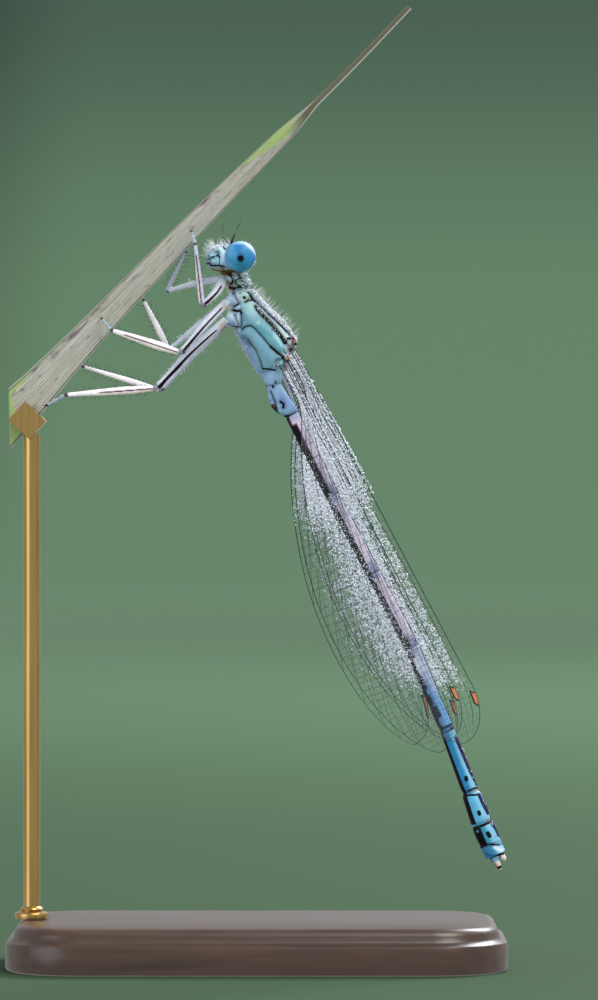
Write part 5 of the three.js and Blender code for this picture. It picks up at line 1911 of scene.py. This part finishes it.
tree.links.new(leaf.outputs[2], shader.inputs["Base Color"])
relief = add(tree, "Math", {0: rib_wave, 1: 0.5, 2: fibre}, operation="MULTIPLY_ADD")
furrow = add(tree, "Bump", {"Strength": 0.6, "Distance": 0.03 * MM, "Height": relief.outputs[0]})
tree.links.new(furrow.outputs["Normal"], shader.inputs["Normal"])
print("coats of colour on the leaf:", len(LEAF_LAYERS))

# %% [markdown]
# ## The green that is left
# Leaves dry from the tip and edges inwards. A little green stays at the foot, along a slanting,
# ragged line, and in the fold past the twist.

# %% The leaf piece and its green
blade = make_piece("grass_blade", *blade_mesh, grass)
slant = leaf_along + 0.012 * leaf_across
wedge = leaf_across - 1.0 + 13 * (leaf_along - 0.575)
greens = [
    ramp(-slant, -0.022, -0.008),
    ramp(-leaf_along, -0.1, -0.03) * ramp(leaf_across, 0.62, 0.85),
    0.62 * ramp(-leaf_along, -0.3, -0.15) * ramp(leaf_across, 0.82, 0.88),
    ramp(wedge, -0.1, 0.3) * ramp(-leaf_along, -0.745, -0.72),
]
write_attribute(blade.data, "leaf_across", "FLOAT", leaf_across)
write_attribute(blade.data, "leaf_along", "FLOAT", leaf_along)
write_attribute(blade.data, "leaf_green", "FLOAT", np.max(greens, axis=0))
finish_piece(blade, "grass", "perch_blade")

# %% [markdown]
# ## Wood and brass
# The plinth is beech, stained nearly black and rubbed to a satin, with pores about 0.7 mm apart and
# 8 mm long. Rod and clip are drawn brass with fine scratches along the pull. Both are noise
# stretched one way, with a shallow bump.

# %% Wood and brass
def grained(name, low, high, stretch, detail, twist, bump, depth_mm, **surface):
    """A stuff whose grain runs one way: `stretch` is how many grains fit in a metre on x, y, z."""
    material, tree, shader = start_material(name, **surface)
    where = add(tree, "TexCoord").outputs["Object"]
    drawn = add(tree, "VectorMath", {0: where, 1: stretch}, operation="MULTIPLY")
    grain = add(tree, "TexNoise", {"Vector": drawn.outputs[0], "Scale": 1.0, "Detail": detail,
                                   "Distortion": twist})
    mixed = add(tree, "Mix", {0: grain.outputs["Fac"], 6: colour(low), 7: colour(high)},
                data_type="RGBA")
    tree.links.new(mixed.outputs[2], shader.inputs["Base Color"])
    relief = add(tree, "Bump", {"Strength": bump, "Distance": depth_mm * MM,
                                "Height": grain.outputs["Fac"]})
    tree.links.new(relief.outputs["Normal"], shader.inputs["Normal"])
    return material


wood = grained("stained_beech_satin", "#1d130d", "#5a4030", (120.0, 1500.0, 1500.0), 6.0, 0.4,
               0.3, 0.03, Roughness=0.38, IOR=1.5, Coat_Weight=0.25, Coat_Roughness=0.2)
brass = grained("drawn_brass_satin", "#a07f43", "#d2b070", (4000.0, 4000.0, 150.0), 3.0, 0.0,
                0.2, 0.01, Metallic=1.0, Roughness=0.3)
print("stand materials:", wood.name, brass.name)

# %% [markdown]
# ## The plinth
# A bevel on a box would give one round edge, not a moulding. So the profile is written as rows of
# inset and height and swept round the slab.

# %% Plinth
MOULDING = [(0.25, 0.0), (0.08, 0.06), (0.0, 0.22), (0.0, 1.35), (0.06, 1.5), (0.3, 1.62),
            (0.42, 1.78), (0.46, 2.0), (0.56, 2.2), (0.74, 2.34)]
QUARTER = np.pi / 2


def corners_mm(node):
    low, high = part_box(node)
    return np.array(low) / MM, np.array(high) / MM


def plinth_shape(low, high, corner=4.0):
    half_x, half_y = (high[0] - low[0]) / 2, (high[1] - low[1]) / 2
    starts = QUARTER * np.arange(-1, 3)
    turns = np.concatenate([np.linspace(a, a + QUARTER, 13) for a in starts])
    middles = np.repeat(starts + QUARTER / 2, 13)
    sign_x, sign_y = np.sign(np.cos(middles)), np.sign(np.sin(middles))
    rows = []
    for inset, z in MOULDING + [(1.0, high[2] - low[2])]:
        r = corner - inset
        x = sign_x * (half_x - corner) + r * np.cos(turns)
        y = sign_y * (half_y - corner) + r * np.sin(turns)
        rows.append(np.column_stack([x, y, np.full(len(x), low[2] + z)]))
    return close_rings(np.array(rows), [0, 0, low[2]], [0, 0, high[2]])


def keep_flat(piece, degrees):
    """Sharp edges stay sharp where two faces meet at more than this angle."""
    piece.data.set_sharp_from_angle(angle=math.radians(degrees))


plinth = make_piece("plinth", *plinth_shape(*corners_mm("stand_base")), wood)
keep_flat(plinth, 30)
finish_piece(plinth, "plinth", "stand_base")

# %% [markdown]
# ## The rod and the clip
# The rod is turned with a small foot and a collar, so it is one tube from a short profile. The clip
# is a filed block with a slot. Its CAD solid is right as it is and only gets the brass.

# %% Rod and clip
TURNING = [[0, 0.86], [0.22, 0.9], [0.3, 0.86], [0.36, 0.72], [0.4, 0.56], [0.5, 0.6],
           [0.58, 0.56], [0.64, 0.45], [0.75, 0.44]]
rod_low, rod_high = corners_mm("stand_rod")
rod_tall = rod_high[2] - rod_low[2]
levels, sizes = np.array(TURNING + [[rod_tall * share, 0.44] for share in (0.3, 0.6, 1.0)]).T
centres = np.column_stack([np.full(len(levels), (rod_low[0] + rod_high[0]) / 2),
                           np.zeros(len(levels)), rod_low[2] + levels])
turned = tube(centres, np.array([1.0, 0, 0]), np.array([0, 1.0, 0]), sizes, sizes, sizes, 48)
rod = make_piece("brass_rod", *turned, brass)
keep_flat(rod, 40)
finish_piece(rod, "brass", "stand_rod")

clip_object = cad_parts["stand_clip"]
clip_object.data.materials.clear()
clip_object.data.materials.append(brass)
print("clip kept:", clip_object.name)

# %% [markdown]
# ## Backdrop paper
# Sage paper lets silver and white read against it. It is darker behind the animal, paler far out,
# and painted shade dims it to the left and above, where the lamps no longer reach.

# %% Backdrop paper
paper, tree, shader = start_material("sage_backdrop_paper", Roughness=0.9, IOR=1.4)
where = add(tree, "TexCoord").outputs["Object"]
tooth = add(tree, "TexNoise", {"Vector": where, "Scale": 3000.0})
out_from_middle = add(tree, "VectorMath", {0: where}, operation="LENGTH").outputs["Value"]
rise = add(tree, "MapRange", {"Value": out_from_middle, "From Min": 0.02, "From Max": 1.0},
           interpolation_type="SMOOTHSTEP")
graded = add(tree, "Mix", {0: rise.outputs["Result"], 6: colour("#2a4928"), 7: colour("#83ab84")},
             data_type="RGBA")
# Painted shade: the paper is darker above, where the lamps no longer reach.
tall = add(tree, "SeparateXYZ", {0: where}).outputs["Z"]
painted_shade_above = add(tree, "MapRange", {"Value": tall, "From Min": 0.07, "From Max": 0.19},
           interpolation_type="SMOOTHSTEP")
graded = add(tree, "Mix", {0: painted_shade_above.outputs["Result"], 6: graded.outputs[2], 7: colour("#5f7c66")},
             data_type="RGBA")
soft_tooth = add(tree, "MapRange", {"Value": tooth.outputs["Fac"], "To Min": 0.95, "To Max": 1.05})
# Painted shade: the paper is darker to the left.
aside = add(tree, "SeparateXYZ", {0: where}).outputs["X"]
painted_shade_left = add(tree, "MapRange", {"Value": aside, "From Min": -0.12, "From Max": -0.055, "To Min": 0.48},
          interpolation_type="SMOOTHSTEP")
level = add(tree, "Math", {0: painted_shade_left.outputs["Result"], 1: soft_tooth.outputs["Result"]},
            operation="MULTIPLY")
page = add(tree, "VectorMath", {0: graded.outputs[2], "Scale": level.outputs[0]}, operation="SCALE")
tree.links.new(page.outputs[0], shader.inputs["Base Color"])
print("paper nodes:", len(tree.nodes))

# %% [markdown]
# ## The backdrop's shape
# A floor and a wall would meet in a hard line. A studio sheet is rolled in a wide curve instead,
# and here it is a whole bowl, so that every side has one. It shows only to the camera.

# %% Backdrop bowl
CURVE = 1.1  # radius in metres, from the flat floor up into the wall
bowl_profile = [(0.4, 0.0), (0.9, 0.0)]
bowl_profile += [(0.9 + CURVE * math.sin(a), CURVE - CURVE * math.cos(a))
                 for a in np.linspace(0.1, math.pi / 2, 14)]
bowl_profile += [(2.0, 1.8), (2.0, 2.6)]
turns = np.linspace(0, 2 * np.pi, 97)[:-1]
ring = np.array([[[r * math.cos(a), r * math.sin(a), z] for a in turns] for r, z in bowl_profile])
points, faces = close_rings(ring, [0, 0, 0], [0, 0, 0])
# The bowl is open above and is seen from inside: no lid, and every face turned about.
bowl = make_piece("backdrop_bowl", points[:-1], faces[:-len(turns), ::-1], paper, scale=1.0)
for ray in ("visible_diffuse", "visible_glossy", "visible_transmission", "visible_shadow"):
    setattr(bowl, ray, False)
print("backdrop:", len(points) - 1, "points")

# %% [markdown]
# ## Lamps
# Three large soft lamps light the subject as an overcast morning would, brightest from above and
# behind, so that dew and hair are rimmed. A bare bulb would give every bead a hard shadow.

# %% Lamps and sky
def lamp(name, place, size, watts, swatch):
    light = bpy.data.lights.new(name, "AREA")
    light.shape = "DISK"
    light.size = size
    light.energy = watts
    light.color = linear(swatch)
    holder = bpy.data.objects.new(name, light)
    holder.location = place
    aim = Vector((0, 0, 0.028)) - Vector(place)
    holder.rotation_mode = "QUATERNION"
    holder.rotation_quaternion = aim.to_track_quat("-Z", "Y")
    holder.visible_camera = False
    bpy.context.collection.objects.link(holder)


for name, place, size, watts, swatch in (
    ("key_softbox", (0.2, -0.26, 0.4), 0.3, 1.9, "#fffaf2"),
    ("back_softbox", (0.24, 0.3, 0.34), 0.25, 2.6, "#f2f7ff"),
    ("fill_softbox", (-0.4, -0.3, 0.12), 0.4, 0.7, "#eef4ff"),
):
    lamp(name, place, size, watts, swatch)

world = bpy.data.worlds.new("overcast_room")
world.use_nodes = True
background = world.node_tree.nodes["Background"]
background.inputs["Color"].default_value = colour("#e6ebee")
background.inputs["Strength"].default_value = 0.62
bpy.context.scene.world = world
print("sky strength:", round(background.inputs["Strength"].default_value, 2))

# %% [markdown]
# ## Camera
# A long lens looks at the animal square from its left side, so that body, wings and legs keep their
# proportions. It is level and well above the floor.

# %% Camera
camera_data = bpy.data.cameras.new("camera")
camera = bpy.data.objects.new("camera", camera_data)
bpy.context.collection.objects.link(camera)
VIEW_CENTRE = Vector((2.2 * MM, 0, 24.37 * MM))
VIEW_TALL = 52.4 * MM  # what the picture's height covers at the animal's middle plane
DISTANCE = 0.3
camera_data.sensor_width = 36
camera_data.lens = 36 * DISTANCE / VIEW_TALL
camera.location = VIEW_CENTRE + Vector((0, -DISTANCE, 0))
camera.rotation_euler = (math.pi / 2, 0, 0)
camera_data.clip_start = 0.01
bpy.context.scene.camera = camera

scene = bpy.context.scene
scene.view_settings.view_transform = "Standard"
scene.cycles.transparent_max_bounces = 32
print("lens:", round(camera_data.lens), "mm at", DISTANCE, "m")
